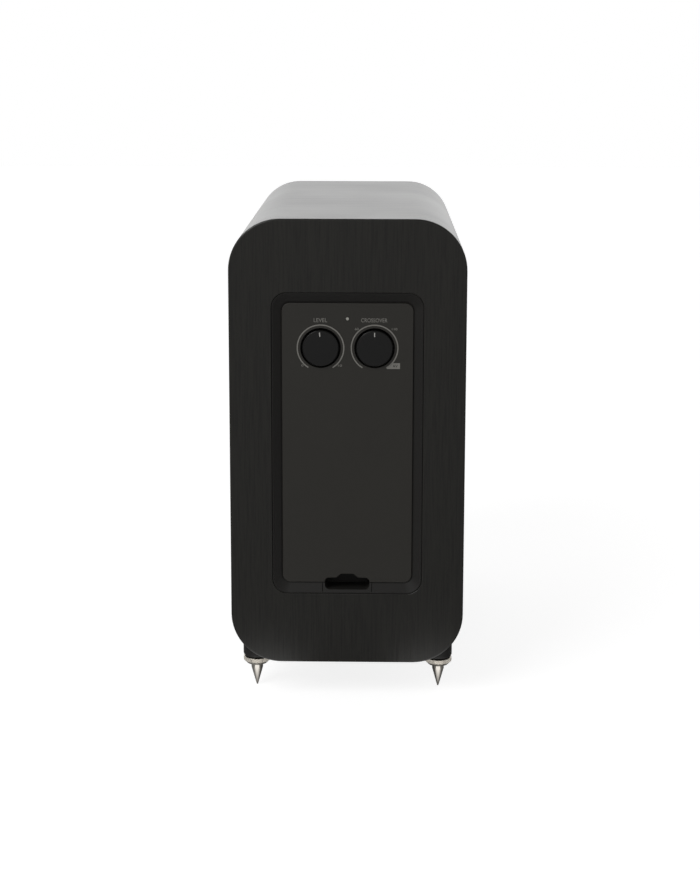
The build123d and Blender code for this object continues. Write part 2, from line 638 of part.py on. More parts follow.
with BuildPart() as board_standoffs:
    with BuildSketch(rear_view(BOARD_BACK_Y)):
        with Locations(*STANDOFFS):
            RegularPolygon(3.2, 6)
    extrude(amount=BOARD_BACK_Y - BAY_BACK_Y)
keep(board_standoffs, "board_standoffs")

with BuildPart() as main_board:
    with BuildSketch(rear_view(BOARD_BACK_Y)):
        with Locations((0, BOARD_UP)):
            RectangleRounded(BOARD_W, BOARD_H, 2)
        with Locations(*STANDOFFS):
            Circle(1.6, mode=Mode.SUBTRACT)
    extrude(amount=-BOARD_T)
    # chokes and chips soldered to the board
    with BuildSketch(rear_view(BOARD_BACK_Y + BOARD_T)):
        with Locations((-30, 6), (-12, 6)):
            Circle(7.5)
    extrude(amount=-10)
    with BuildSketch(rear_view(BOARD_BACK_Y + BOARD_T)):
        with Locations((28, -20), (28, -34), (6, -20)):
            Rectangle(10, 8)
        with Locations((-18, 38)):
            Rectangle(14, 10)
    extrude(amount=-2.5)
keep(main_board, "main_board")

with BuildPart() as board_screws:
    with Locations(rear_view(BOARD_BACK_Y + BOARD_T)):
        with Locations(*STANDOFFS):
            Cylinder(2.9, 2.0, align=(Align.CENTER, Align.CENTER, Align.MAX))
            Cylinder(1.5, BOARD_T, align=(Align.CENTER, Align.CENTER, Align.MIN))
keep(board_screws, "board_screws")

# Finned aluminium bar on the output transistors.
HEATSINK_Y = BOARD_BACK_Y + BOARD_T
with BuildPart() as heatsink:
    with BuildSketch(rear_view(HEATSINK_Y)):
        with Locations((14, 24)):
            Rectangle(36, 44)
    extrude(amount=-6)
    with BuildSketch(rear_view(HEATSINK_Y + 6)):
        with Locations((14, 24)):
            with GridLocations(36 / 7 * 0.98, 0, 8, 1):
                Rectangle(1.6, 44)
    extrude(amount=-20)
keep(heatsink, "heatsink")

with BuildPart() as power_transformer:
    with BuildSketch(rear_view(HEATSINK_Y)):
        with Locations((-18, -72)):
            Rectangle(40, 36)
    extrude(amount=-24)
    fillet(power_transformer.edges().filter_by(Axis.Y), 2)
    with BuildSketch(rear_view(HEATSINK_Y + 4)):
        with Locations((-18, -72)):
            Rectangle(30, 48)
    extrude(amount=-16)
keep(power_transformer, "power_transformer")

with BuildPart() as smoothing_capacitors:
    with BuildSketch(rear_view(HEATSINK_Y)):
        with Locations((18, -64), (18, -86)):
            Circle(9.5)
    extrude(amount=-30)
    fillet(smoothing_capacitors.faces().sort_by(Axis.Y)[-2:].edges(), 1.2)
keep(smoothing_capacitors, "smoothing_capacitors")

# ---------------------------------------------------------------- driver
FLANGE_FRONT_X = WALL_X - 4.0
PLATE_FRONT_X = -30.0
LEDGE_FRONT_X = -41.5  # basket ledge that the spider is glued to

basket_outline = [
    (FLANGE_FRONT_X, 89.0), (FLANGE_FRONT_X, 105.0), (WALL_X, 105.0), (WALL_X, 92.5),
    (-42.0, 58.5), (PLATE_FRONT_X, 58.5), (PLATE_FRONT_X, 30.0), (-32.5, 30.0),
    (-32.5, 51.0), (LEDGE_FRONT_X, 51.0), (LEDGE_FRONT_X, 56.0), (-85.0, 89.0),
]
with BuildPart() as driver_basket:
    with BuildSketch(DRIVER_SECTION):
        with BuildLine():
            Polyline(*basket_outline, close=True)
        make_face()
    revolve(axis=DRIVER_AXIS)
    # six windows between the spokes
    with BuildSketch(driver_view(-46.0)):
        with PolarLocations(76, 6):
            RectangleRounded(60, 40, 8)
    extrude(amount=32.0, mode=Mode.SUBTRACT)
    with BuildSketch(driver_view(FLANGE_FRONT_X)):
        with PolarLocations(DRIVER_SCREW_RING_R, DRIVER_SCREWS, start_angle=22.5):
            Circle(2.3)
    extrude(amount=-6, mode=Mode.SUBTRACT)
keep(driver_basket, "driver_basket")

keep(on_driver_axis(tube_outline(PLATE_FRONT_X, -22, COIL_R + 2.0, 50)), "top_plate")
keep(on_driver_axis(tube_outline(-22, -2, 25, 60)), "magnet_ring")

# Back plate and vented pole piece in one turned part.
yoke_outline = [
    (PLATE_FRONT_X, 6), (PLATE_FRONT_X, COIL_R - 1.2), (-2, COIL_R - 1.2), (-2, 55),
    (6, 55), (6, 9), (3, 6),
]
keep(on_driver_axis(yoke_outline), "yoke")

keep(on_driver_axis(tube_outline(-52, -18, COIL_R - 0.4, COIL_R)), "coil_former")
keep(on_driver_axis(tube_outline(-34, -18, COIL_R + 0.05, COIL_R + 1.2)), "voice_coil")
keep(on_driver_axis(tube_outline(LEDGE_FRONT_X - 0.8, LEDGE_FRONT_X, COIL_R + 0.3, 55)), "spider")

CONE_EDGE_X, CONE_NECK_X = FLANGE_FRONT_X - 1.0, -51.0
CONE_T = 1.4
cone_outline = [
    (CONE_EDGE_X, CONE_R), (CONE_NECK_X, COIL_R + 0.05),
    (CONE_NECK_X + CONE_T, COIL_R + 0.05), (CONE_EDGE_X + CONE_T, CONE_R),
]
keep(on_driver_axis(cone_outline), "cone")

# Domed cap over the neck of the cone.
CAP_R, CAP_RISE, CAP_T = 30.0, 11.0, 0.9
slope = (CONE_NECK_X - CONE_EDGE_X) / (CONE_R - COIL_R)
cap_rim_x = CONE_NECK_X - (CAP_R - COIL_R) * slope
cap_sphere_r = (CAP_R**2 + CAP_RISE**2) / (2 * CAP_RISE)
cap_tip_x = cap_rim_x - CAP_RISE - 0.3
with BuildPart() as dust_cap:
    with BuildSketch(DRIVER_SECTION):
        with Locations((cap_tip_x + cap_sphere_r, 0)):
            Circle(cap_sphere_r)
            Circle(cap_sphere_r - CAP_T, mode=Mode.SUBTRACT)
        with Locations((cap_tip_x, 0)):
            Rectangle(CAP_RISE, CAP_R, align=(Align.MIN, Align.MIN), mode=Mode.INTERSECT)
    revolve(axis=DRIVER_AXIS)
keep(dust_cap, "dust_cap")

# Half-roll rubber edge between the cone and the basket flange.
ROLL_R, ROLL_T = 6.9, 0.8
roll_mid = CONE_R + 0.3 + ROLL_R
with BuildPart() as surround:
    with BuildSketch(DRIVER_SECTION):
        with BuildLine():
            ThreePointArc(
                (FLANGE_FRONT_X, roll_mid - ROLL_R),
                (FLANGE_FRONT_X - ROLL_R, roll_mid),
                (FLANGE_FRONT_X, roll_mid + ROLL_R),
            )
            Line((FLANGE_FRONT_X, roll_mid + ROLL_R), (FLANGE_FRONT_X, roll_mid + ROLL_R - ROLL_T))
            ThreePointArc(
                (FLANGE_FRONT_X, roll_mid + ROLL_R - ROLL_T),
                (FLANGE_FRONT_X - ROLL_R + ROLL_T, roll_mid),
                (FLANGE_FRONT_X, roll_mid - ROLL_R + ROLL_T),
            )
            Line((FLANGE_FRONT_X, roll_mid - ROLL_R + ROLL_T), (FLANGE_FRONT_X, roll_mid - ROLL_R))
        make_face()
        # glued lip on the flange
        with Locations((FLANGE_FRONT_X - 0.4, roll_mid + ROLL_R + 0.75)):
            Rectangle(0.8, 2.3)
    revolve(axis=DRIVER_AXIS)
keep(surround, "surround")

# Fibre block with the two solder tags, on the rim of the basket.
with BuildPart() as terminal_block:
    with BuildSketch(Plane(origin=(-36, DRIVER_Y, DRIVER_Z), x_dir=(0, 1, 0), z_dir=(1, 0, 0))):
        with Locations((-62.5, 0)):
            Rectangle(11, 22)
        Circle(58.5, mode=Mode.SUBTRACT)
    extrude(amount=4.5, both=True)
keep(terminal_block, "terminal_block")

SCREW_HEAD_T = 2.2
with BuildPart() as driver_screws:
    with Locations(driver_view(FLANGE_FRONT_X)):
        with PolarLocations(DRIVER_SCREW_RING_R, DRIVER_SCREWS, start_angle=22.5):
            Cylinder(3.9, SCREW_HEAD_T, align=(Align.CENTER, Align.CENTER, Align.MIN))
            Cylinder(DRIVER_SCREW_R, 20, align=(Align.CENTER, Align.CENTER, Align.MAX))
    fillet(driver_screws.faces().filter_by(Plane.YZ).group_by(Axis.X)[0].edges(), 0.8)
    with BuildSketch(driver_view(FLANGE_FRONT_X - SCREW_HEAD_T)):
        with PolarLocations(DRIVER_SCREW_RING_R, DRIVER_SCREWS, start_angle=22.5):
            RegularPolygon(1.7, 6)
    extrude(amount=-1.4, mode=Mode.SUBTRACT)
keep(driver_screws, "driver_screws")


# Two leads from the main board to the terminals, clipped along their way.
LEAD_R = 1.3


def lead(side):
    """One lead: straight runs and tangent arcs; side is +1 above, -1 below."""
    route = [
        (-30, BOARD_BACK_Y + BOARD_T, MID_Z + 30 + 5 * side),
        (-30, -92, MID_Z + 30 + 5 * side),
        (-34, -72, MID_Z + 18 + 5 * side),
        (-36, -54, MID_Z + 6 * side),
        (-36, DRIVER_Y - 68, MID_Z + 6 * side),
    ]
    with BuildPart() as wire:
        with BuildLine() as path:
            FilletPolyline(*route, radius=9)
        with BuildSketch(Plane(origin=route[0], z_dir=(0, 1, 0))):
            Circle(LEAD_R)
        sweep(path=path.line)
    return wire


keep(lead(1), "driver_lead_positive")
keep(lead(-1), "driver_lead_negative")

# ---------------------------------------------------------------- grille
GRILLE_R = GRILLE_HOLE_R - 0.7
CLOTH_T = 0.9
GRILLE_FACE_X = -BODY_W / 2 + CLOTH_T
GRILLE_BACK_X = WALL_X - 0.3
GRILLE_MAGNET_R, GRILLE_MAGNET_T = 2.5, 2.0
grille_outline = [
    (GRILLE_BACK_X, 105.8), (GRILLE_BACK_X, GRILLE_R), (GRILLE_FACE_X, GRILLE_R),
    (GRILLE_FACE_X, 98.0), (GRILLE_FACE_X + 3.0, 98.0), (GRILLE_FACE_X + 3.0, 105.8),
]
with BuildPart() as grille_frame:
    with BuildSketch(DRIVER_SECTION):
        with BuildLine():
            Polyline(*grille_outline, close=True)
        make_face()
    revolve(axis=DRIVER_AXIS)
    with BuildSketch(driver_view(GRILLE_BACK_X)):
        with PolarLocations(STRIKER_RING_R, STRIKERS):
            Circle(GRILLE_MAGNET_R)
    extrude(amount=GRILLE_MAGNET_T, mode=Mode.SUBTRACT)
keep(grille_frame, "grille_frame")

with BuildPart() as grille_cloth:
    with BuildSketch(driver_view(GRILLE_FACE_X)):
        Circle(GRILLE_R)
    extrude(amount=CLOTH_T)
keep(grille_cloth, "grille_cloth")

with BuildPart() as grille_magnets:
    with BuildSketch(driver_view(GRILLE_BACK_X)):
        with PolarLocations(STRIKER_RING_R, STRIKERS):
            Circle(GRILLE_MAGNET_R)
    extrude(amount=GRILLE_MAGNET_T)
keep(grille_magnets, "grille_magnets")

with BuildPart() as grille_strikers:
    with BuildSketch(driver_view(WALL_X + STRIKER_T)):
        with PolarLocations(STRIKER_RING_R, STRIKERS):
            Circle(STRIKER_R)
    extrude(amount=STRIKER_T)
keep(grille_strikers, "grille_strikers")

# ---------------------------------------------------------------- feet
FEET = [(sx * FOOT_X, sy * FOOT_Y) for sy in (-1, 1) for sx in (-1, 1)]
FOOT_NAMES = ["rear_left", "rear_right", "front_left", "front_right"]

# The space that the cabinet takes, for scribing the pods to its lower corners.
with BuildPart() as cabinet_space:
    with BuildSketch(rear_view(FRONT_Y)):
        RectangleRounded(BODY_W, BODY_H, CORNER_R)
    extrude(amount=BODY_D)

with BuildPart() as foot_pods:
    with BuildSketch(Plane.XY.offset(POD_LOW)):
        with Locations(*FEET):
            Circle(POD_R)
    extrude(amount=30)
    fillet(foot_pods.faces().group_by(Axis.Z)[0].edges(), 3.5)
    add(cabinet_space.part, mode=Mode.SUBTRACT)
    with BuildSketch(Plane.XY.offset(POD_LOW)):
        with Locations(*FEET):
            Circle(4.6)
    extrude(amount=40, mode=Mode.SUBTRACT)
keep(foot_pods, "foot_pods")

INSERT_LOW = 45.2
with BuildPart() as foot_inserts:
    with BuildSketch(Plane.XY.offset(INSERT_LOW)):
        with Locations(*FEET):
            Circle(INSERT_R)
            Circle(STUD_R + 0.06, mode=Mode.SUBTRACT)
    extrude(amount=INSERT_TOP - INSERT_LOW)
keep(foot_inserts, "foot_inserts")

# Knurled lock rings that clamp the spikes against the pods.
RING_R, RING_FLUTES = 12.0, 60
with BuildPart() as one_ring:
    with BuildSketch(Plane.XY.offset(RING_LOW)):
        Circle(RING_R)
        Circle(STUD_R + 0.3, mode=Mode.SUBTRACT)
    extrude(amount=POD_LOW - RING_LOW)
    lower_rim = one_ring.edges().group_by(Axis.Z)[0].sort_by(SortBy.RADIUS)[-1]
    chamfer(lower_rim, 3.0)
    upper_rim = one_ring.edges().group_by(Axis.Z)[-1].sort_by(SortBy.RADIUS)[-1]
    chamfer(upper_rim, 0.5)
    with BuildSketch(Plane.XY.offset(RING_LOW)):
        with PolarLocations(RING_R + 0.15, RING_FLUTES):
            Circle(0.5)
    extrude(amount=POD_LOW - RING_LOW, mode=Mode.SUBTRACT)
with BuildPart() as lock_rings:
    with Locations(*FEET):
        add(one_ring.part)
keep(lock_rings, "lock_rings")


TIP_R = 0.6  # small flat at the tip
SHANK_LOW, SHANK_TOP = 16.5, RING_LOW - 0.2
STUD_TOP = 56.0


def spike(x, y):
    """A turned steel spike with a threaded stud above its shank."""
    outline = [
        (0, 0), (TIP_R, 0), (SPIKE_R, SHANK_LOW), (SPIKE_R, SHANK_TOP), (STUD_R, SHANK_TOP),
        (STUD_R, STUD_TOP - 0.8), (STUD_R - 0.8, STUD_TOP), (0, STUD_TOP),
    ]
    with BuildPart() as turned:
        with BuildSketch(Plane(origin=(x, y, 0), x_dir=(1, 0, 0), z_dir=(0, -1, 0))):
            with BuildLine():
                Polyline(*outline, close=True)
            make_face()
        revolve(axis=Axis((x, y, 0), (0, 0, 1)))
    return turned


for (foot_x, foot_y), foot in zip(FEET, FOOT_NAMES):
    keep(spike(foot_x, foot_y), f"spike_{foot}")
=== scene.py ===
"""The look of the slim active subwoofer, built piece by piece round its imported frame."""
import math

import bmesh
import bpy
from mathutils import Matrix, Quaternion, Vector
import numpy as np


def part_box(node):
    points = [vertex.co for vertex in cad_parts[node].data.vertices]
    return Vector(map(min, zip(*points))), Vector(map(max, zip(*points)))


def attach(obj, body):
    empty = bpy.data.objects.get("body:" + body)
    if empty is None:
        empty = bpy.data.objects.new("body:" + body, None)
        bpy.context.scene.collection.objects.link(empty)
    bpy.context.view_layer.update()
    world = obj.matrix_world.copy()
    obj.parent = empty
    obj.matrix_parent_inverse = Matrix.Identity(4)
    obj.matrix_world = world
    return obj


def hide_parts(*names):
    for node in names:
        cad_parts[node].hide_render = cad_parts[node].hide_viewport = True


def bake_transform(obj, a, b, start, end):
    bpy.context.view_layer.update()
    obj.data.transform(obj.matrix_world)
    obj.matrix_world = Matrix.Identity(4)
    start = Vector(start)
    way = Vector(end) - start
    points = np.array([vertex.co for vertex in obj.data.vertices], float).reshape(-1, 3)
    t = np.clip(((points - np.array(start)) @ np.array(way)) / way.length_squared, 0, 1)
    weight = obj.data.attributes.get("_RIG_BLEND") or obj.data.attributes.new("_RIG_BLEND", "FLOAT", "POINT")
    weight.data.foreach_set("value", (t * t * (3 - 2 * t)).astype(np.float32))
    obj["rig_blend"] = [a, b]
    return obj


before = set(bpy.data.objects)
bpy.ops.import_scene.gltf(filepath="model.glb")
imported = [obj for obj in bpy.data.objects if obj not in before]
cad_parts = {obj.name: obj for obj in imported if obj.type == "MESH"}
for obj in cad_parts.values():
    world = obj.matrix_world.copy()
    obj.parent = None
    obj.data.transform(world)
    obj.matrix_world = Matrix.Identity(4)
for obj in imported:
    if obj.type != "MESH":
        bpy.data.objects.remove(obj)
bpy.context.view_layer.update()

MM = 0.001

# ---------------------------------------------------------------- cabinet
# Four boards wrapped round big corners, with a board let in at each end. All are MDF faced with
# black-stained ash veneer and sprayed with satin lacquer. The grain runs round the sleeve, and
# upright on the two end boards.


def linear(hex_colour):
    """An sRGB hex colour as linear red, green, blue and full alpha."""
    parts = [int(hex_colour[i : i + 2], 16) / 255 for i in (1, 3, 5)]
    return [c / 12.92 if c <= 0.04045 else ((c + 0.055) / 1.055) ** 2.4 for c in parts] + [1.0]


def add_node(tree, kind, inputs=None, **settings):
    """Add a node with its settings; each input is a plain value or another node's output."""
    node = tree.nodes.new("ShaderNode" + kind)
    for name, value in settings.items():
        setattr(node, name, value)
    for name, value in (inputs or {}).items():
        if isinstance(value, bpy.types.NodeSocket):
            tree.links.new(value, node.inputs[name])
        else:
            node.inputs[name].default_value = value
    return node


def new_material(name, constants):
    """An empty finish: its tree and its shader, with the constants set on the shader's sockets."""
    material = bpy.data.materials.new(name)
    material.use_nodes = True
    shader = material.node_tree.nodes["Principled BSDF"]
    for socket, value in constants.items():
        shader.inputs[socket].default_value = value
    return material, material.node_tree, shader


def paint(material, *pieces):
    """Give the finish to pieces, which are CAD node names or new objects."""
    for piece in pieces:
        mesh = (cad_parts[piece] if isinstance(piece, str) else piece).data
        mesh.materials.clear()
        mesh.materials.append(material)


def lacquered_ash(name, stretch):
    """Black-stained ash under satin lacquer. stretch lengthens the grain along X, Y and Z.

    The eye gets a nearly even black with faint streaks: wide ones where the wood took more
    stain, and short open pores that the thin lacquer doesn't fill, so they catch the light.
    """
    material, tree, shader = new_material(name, {"IOR": 1.5})
    place = add_node(tree, "TexCoord").outputs["Object"]
    along = add_node(
        tree, "Mapping", {"Vector": place, "Scale": [1 / s for s in stretch]}
    ).outputs["Vector"]
    # growth rings come about 7 mm apart; the pores are drawn 1.3 mm wide, twice real size, to
    # show; the spray gun's passes leave patches about 90 mm wide
    rings = add_node(
        tree, "TexNoise", {"Vector": along, "Scale": 1000 / 7, "Detail": 3, "Distortion": 0.6}
    ).outputs["Fac"]
    pores = add_node(
        tree, "TexNoise", {"Vector": along, "Scale": 1000 / 1.3, "Detail": 4, "Roughness": 0.6}
    ).outputs["Fac"]
    sprayed = add_node(tree, "TexNoise", {"Vector": place, "Scale": 1000 / 90}).outputs["Fac"]
    stain = add_node(
        tree,
        "MixRGB",
        {"Fac": rings, "Color1": linear("#262522"), "Color2": linear("#2e2d29")},
    ).outputs["Color"]
    filled = add_node(
        tree, "MapRange", {"Value": pores, "From Min": 0.35, "From Max": 0.55}
    ).outputs["Result"]
    colour = add_node(
        tree, "MixRGB", {"Fac": filled, "Color1": linear("#21201e"), "Color2": stain}
    ).outputs["Color"]
    satin = add_node(
        tree, "MapRange", {"Value": sprayed, "To Min": 0.27, "To Max": 0.35}
    ).outputs["Result"]
    # the lacquer sinks a little over the softer wood, so wide reflections waver along the grain
    sunk = add_node(tree, "Bump", {"Height": rings, "Distance": 0.25 * MM}).outputs["Normal"]
    relief = add_node(
        tree, "Bump", {"Height": pores, "Distance": 0.03 * MM, "Normal": sunk}
    ).outputs["Normal"]
    tree.links.new(colour, shader.inputs["Base Color"])
    tree.links.new(satin, shader.inputs["Roughness"])
    tree.links.new(relief, shader.inputs["Normal"])
    return material


paint(lacquered_ash("lacquered_ash_wrapped", (30, 1, 30)), "cabinet_sleeve")
paint(lacquered_ash("lacquered_ash_upright", (1, 1, 30)), "rear_panel", "front_panel")

# ---------------------------------------------------------------- boards inside the cabinet
# Raw medium-density fibreboard, cut with a router and glued in: the doubler that holds the
# driver, and two window boards that stiffen the long walls.


def finish(name, hexes, rough, patch=25, grit=0.6, depth=0.02, stretch=(1, 1, 1), constants=None):
    """A finish that drifts between two sRGB colours in soft patches, over a fine relief.

    patch and grit are the sizes of the patches and of the relief, and depth is how deep the
    relief is, all in mm. stretch lengthens both along X, Y and Z. rough is the least and the
    most roughness.
    """
    material, tree, shader = new_material(name, constants or {})
    place = add_node(tree, "TexCoord").outputs["Object"]
    along = add_node(
        tree, "Mapping", {"Vector": place, "Scale": [1 / s for s in stretch]}
    ).outputs["Vector"]
    patches = add_node(
        tree, "TexNoise", {"Vector": along, "Scale": 1000 / patch, "Detail": 3}
    ).outputs["Fac"]
    grains = add_node(
        tree, "TexNoise", {"Vector": along, "Scale": 1000 / grit, "Detail": 3}
    ).outputs["Fac"]
    colour = add_node(
        tree, "MixRGB", {"Fac": patches, "Color1": linear(hexes[0]), "Color2": linear(hexes[1])}
    ).outputs["Color"]
    dullness = add_node(
        tree, "MapRange", {"Value": grains, "To Min": rough[0], "To Max": rough[1]}
    ).outputs["Result"]
    relief = add_node(tree, "Bump", {"Height": grains, "Distance": depth * MM}).outputs["Normal"]
    tree.links.new(colour, shader.inputs["Base Color"])
    tree.links.new(dullness, shader.inputs["Roughness"])
    tree.links.new(relief, shader.inputs["Normal"])
    return material


# Fibreboard looks like brown felt: matt, with short fibres and no grain.
raw_fibreboard = finish("raw_fibreboard", ("#8a6f4f", "#a58a66"), (0.75, 0.95), 9, 1.2, 0.08)
paint(raw_fibreboard, "driver_baffle", "brace_frames")

# ---------------------------------------------------------------- damping wadding
# A batt of bonded polyester fibre, stapled to the wall behind the magnet. It is lofty: it
# bulges in the middle, its edges are soft and its face is uneven.


def deselect():
    bpy.ops.object.select_all(action="DESELECT")


def place_is_final(piece):
    """Put the piece's place, turn and scale into its mesh, and leave its object at the origin."""
    deselect()
    piece.select_set(True)
    bpy.context.view_layer.objects.active = piece
    bpy.ops.object.transform_apply(location=True, rotation=True, scale=True)


def apply_modifiers(piece):
    bpy.context.view_layer.objects.active = piece
    for modifier in list(piece.modifiers):
        bpy.ops.object.modifier_apply(modifier=modifier.name)


pad_low, pad_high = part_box("damping_wadding")
pad_size = pad_high - pad_low
deselect()
bpy.ops.mesh.primitive_cube_add(size=1, location=(pad_low + pad_high) / 2)
wadding = bpy.context.object
wadding.name = "wadding_batt"
CUT_SHARE = (0.6, 0.95, 0.96)  # of its space before it lofts, which leaves room to swell
wadding.scale = [full * share for full, share in zip(pad_size, CUT_SHARE)]
place_is_final(wadding)
bpy.ops.object.mode_set(mode="EDIT")
bpy.ops.mesh.select_all(action="SELECT")
BATT_EDGE_R = 7 * MM
bpy.ops.mesh.bevel(offset=BATT_EDGE_R, segments=4)
bpy.ops.object.mode_set(mode="OBJECT")
voxels = wadding.modifiers.new("voxels", "REMESH")
voxels.mode = "VOXEL"
voxels.voxel_size = 6 * MM
voxels.use_smooth_shade = True
apply_modifiers(wadding)

LOFT_FRAMES = 14
LOFT_PRESSURE = 4
LOFT_CAP = 9 * MM  # the furthest that a point may move
cut = [vertex.co.copy() for vertex in wadding.data.vertices]
loft = wadding.modifiers.new("loft", "CLOTH")
loft.settings.quality = 5
loft.settings.use_pressure = True
loft.settings.uniform_pressure_force = LOFT_PRESSURE
loft.settings.effector_weights.gravity = 0
for step in range(1, LOFT_FRAMES + 1):
    bpy.context.scene.frame_set(step)
lofted = wadding.evaluated_get(bpy.context.evaluated_depsgraph_get()).to_mesh()
swollen = [vertex.co.copy() for vertex in lofted.vertices]
wadding.modifiers.remove(loft)
bpy.context.scene.frame_set(1)
for vertex, start, end in zip(wadding.data.vertices, cut, swollen):
    move = end - start
    move.length = min(move.length, LOFT_CAP)
    vertex.co = start + move
wadding.modifiers.new("soft", "SUBSURF").levels = 1
wadding.modifiers["soft"].render_levels = 1
TUFT_W, TUFT_H = 22 * MM, 3 * MM
tufts = bpy.data.textures.new("tufts", "CLOUDS")
tufts.noise_scale = TUFT_W
uneven = wadding.modifiers.new("uneven", "DISPLACE")
uneven.texture = tufts
uneven.strength = TUFT_H
uneven.mid_level = 0.5
apply_modifiers(wadding)
# it lies flat on the wall and nowhere leaves its space
for vertex in wadding.data.vertices:
    vertex.co = Vector(
        min(max(value, low), high) for value, low, high in zip(vertex.co, pad_low, pad_high)
    )

# Loose fibre is soft white-grey, with no gloss and a fuzz that lights up at its edges.
polyester_fibre = finish(
    "bonded_polyester_fibre",
    ("#b9b8b4", "#d6d5d1"),
    (0.85, 1.0),
    patch=14,
    grit=1.5,
    depth=0.5,
    stretch=(1, 1, 3),
    constants={"Sheen Weight": 0.4, "Sheen Roughness": 0.6},
)
paint(polyester_fibre, wadding)
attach(wadding, "cabinet")
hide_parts("damping_wadding")

# ---------------------------------------------------------------- amplifier tray
# One black ABS moulding with a spark-eroded mould texture. It drops into the recess on a foam
# gasket, and eight black countersunk screws in the cover's ledge hold it. Steel discs let into
# the same ledge hold the cover's magnets.

# Mould texture breaks the reflections up, so the plastic looks dull and even from every side.
textured_black_abs = finish(
    "textured_black_abs", ("#201f1d", "#242220"), (0.5, 0.62), 30, 0.7, 0.03,
    constants={"IOR": 1.52, "Specular IOR Level": 0.35},
)
paint(textured_black_abs, "amp_tray")
# Closed-cell foam is dead matt, with a pitted skin.
closed_cell_foam = finish("closed_cell_foam", ("#101010", "#1b1b1b"), (0.85, 1.0), 4, 1.0, 0.15)
paint(closed_cell_foam, "tray_gasket")
# Chemically blackened steel is blue-black, and shines softly where it is machined.
blackened_steel = finish(
    "blackened_steel", ("#2b2c2f", "#3a3b3e"), (0.3, 0.45), 6, 0.5, 0.01,
    constants={"Metallic": 1.0},
)
paint(blackened_steel, "tray_screws", "driver_screws")
# Bright zinc on pressed steel is pale and slightly blue, with a faint cloudiness.
bright_zinc = finish(
    "bright_zinc_plate", ("#b4b8bc", "#c8cbcd"), (0.28, 0.4), 5, 0.8, 0.01,
    constants={"Metallic": 1.0},
)
paint(bright_zinc, "striker_plates", "grille_strikers", "board_screws", "board_standoffs")

# ---------------------------------------------------------------- rear cover
# A flat charcoal ABS moulding, finer in texture than the tray and a little lighter. Four small
# nickel-plated magnets are glued in its back.

# The fine texture gives the cover a soft, even, slightly warm grey.
charcoal_abs = finish(
    "fine_textured_charcoal_abs", ("#312f2b", "#35332e"), (0.44, 0.54), 60, 0.5, 0.012,
    constants={"IOR": 1.52},
)
paint(charcoal_abs, "cover_plate")
# Plated nickel is warm grey, bright and smooth.
bright_nickel = finish(
    "bright_nickel_plate", ("#d0cabf", "#ded8ce"), (0.18, 0.28), 8, 0.5, 0.004,
    constants={"Metallic": 1.0},
)
paint(bright_nickel, "cover_magnets", "grille_magnets")

# ---------------------------------------------------------------- print on the cover
# Scales, numbers and names in pale grey ink, printed on the cover with a pad. The ink is a thin
# layer that stands just proud of the plastic.
cover_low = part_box("cover_plate")[0]
level_low, level_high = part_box("level_knob")
dial_z = (level_low.z + level_high.z) / 2
dial_x = -(level_low.x + level_high.x) / 2
INK_T = 0.05 * MM
ink_y = cover_low.y - INK_T / 2

# Ink is matt, and a little uneven where it went on thin.
pad_ink = finish("pale_grey_pad_ink", ("#8d8b85", "#9c9a94"), (0.6, 0.75), 1.5, 0.3, 0.004)
dark_ink = finish("dark_grey_pad_ink", ("#121212", "#1a1a19"), (0.6, 0.75), 1.5, 0.3, 0.004)


def printed(piece, name, ink=pad_ink):
    """A finished piece of print, which goes with the cover."""
    piece.name = name
    place_is_final(piece)
    paint(ink, piece)
    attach(piece, "rear_cover")


def print_text(name, words, x, z, height, width, ink=pad_ink, proud=0.0):
    """Words or numbers centred on (x, z), with capitals that high and that wide in all."""
    deselect()
    bpy.ops.object.text_add(location=(0, 0, 0))
    text = bpy.context.object
    text.data.body = words
    text.data.align_x = "CENTER"
    text.data.align_y = "CENTER"
    text.data.extrude = INK_T / 2
    bpy.ops.object.convert(target="MESH")
    size = text.dimensions
    text.scale = (width / size.x, height / size.y, 1)
    place_is_final(text)
    low = Vector(map(min, *[vertex.co for vertex in text.data.vertices]))
    high = Vector(map(max, *[vertex.co for vertex in text.data.vertices]))
    middle = (low + high) / 2
    for vertex in text.data.vertices:
        right, up, out = vertex.co - middle
        vertex.co = (x + right, ink_y - proud - out, z + up)
    printed(text, name, ink)


SCALE_R = 19.8 * MM  # middle of each dial's printed arc
SCALE_W = 1.0 * MM
SCALE_HALF_TURN = math.radians(148.5)
for side, dial in ((-1, "level"), (1, "crossover")):
    centre = Vector((side * dial_x, ink_y, dial_z))
    deselect()
    bpy.ops.mesh.primitive_circle_add(
        vertices=240, radius=SCALE_R - SCALE_W / 2, location=centre, rotation=(math.pi / 2, 0, 0)
    )
    scale = bpy.context.object
    place_is_final(scale)
    bpy.ops.object.mode_set(mode="EDIT")
    bpy.ops.mesh.select_all(action="SELECT")
    bpy.ops.mesh.extrude_region()
    wider = (SCALE_R + SCALE_W / 2) / (SCALE_R - SCALE_W / 2)
    bpy.ops.transform.resize(value=(wider, wider, wider), center_override=centre)
    # the scale is open below, between its lowest and highest marks
    mesh = bmesh.from_edit_mesh(scale.data)
    for face in mesh.faces:
        middle = face.calc_center_median() - centre
        face.select_set(abs(math.atan2(middle.x, middle.z)) > SCALE_HALF_TURN)
    bpy.ops.mesh.delete(type="FACE")
    bpy.ops.object.mode_set(mode="OBJECT")
    ink_layer = scale.modifiers.new("ink", "SOLIDIFY")
    ink_layer.thickness = INK_T
    ink_layer.offset = 0
    apply_modifiers(scale)
    printed(scale, f"{dial}_scale")

NAME_H, NUMBER_H = 3.4 * MM, 1.9 * MM
name_z = dial_z + 24.0 * MM
print_text("level_name", "LEVEL", -dial_x, name_z, NAME_H, 11.4 * MM)
print_text("crossover_name", "CROSSOVER", dial_x - 0.3 * MM, name_z, NAME_H, 22.3 * MM)
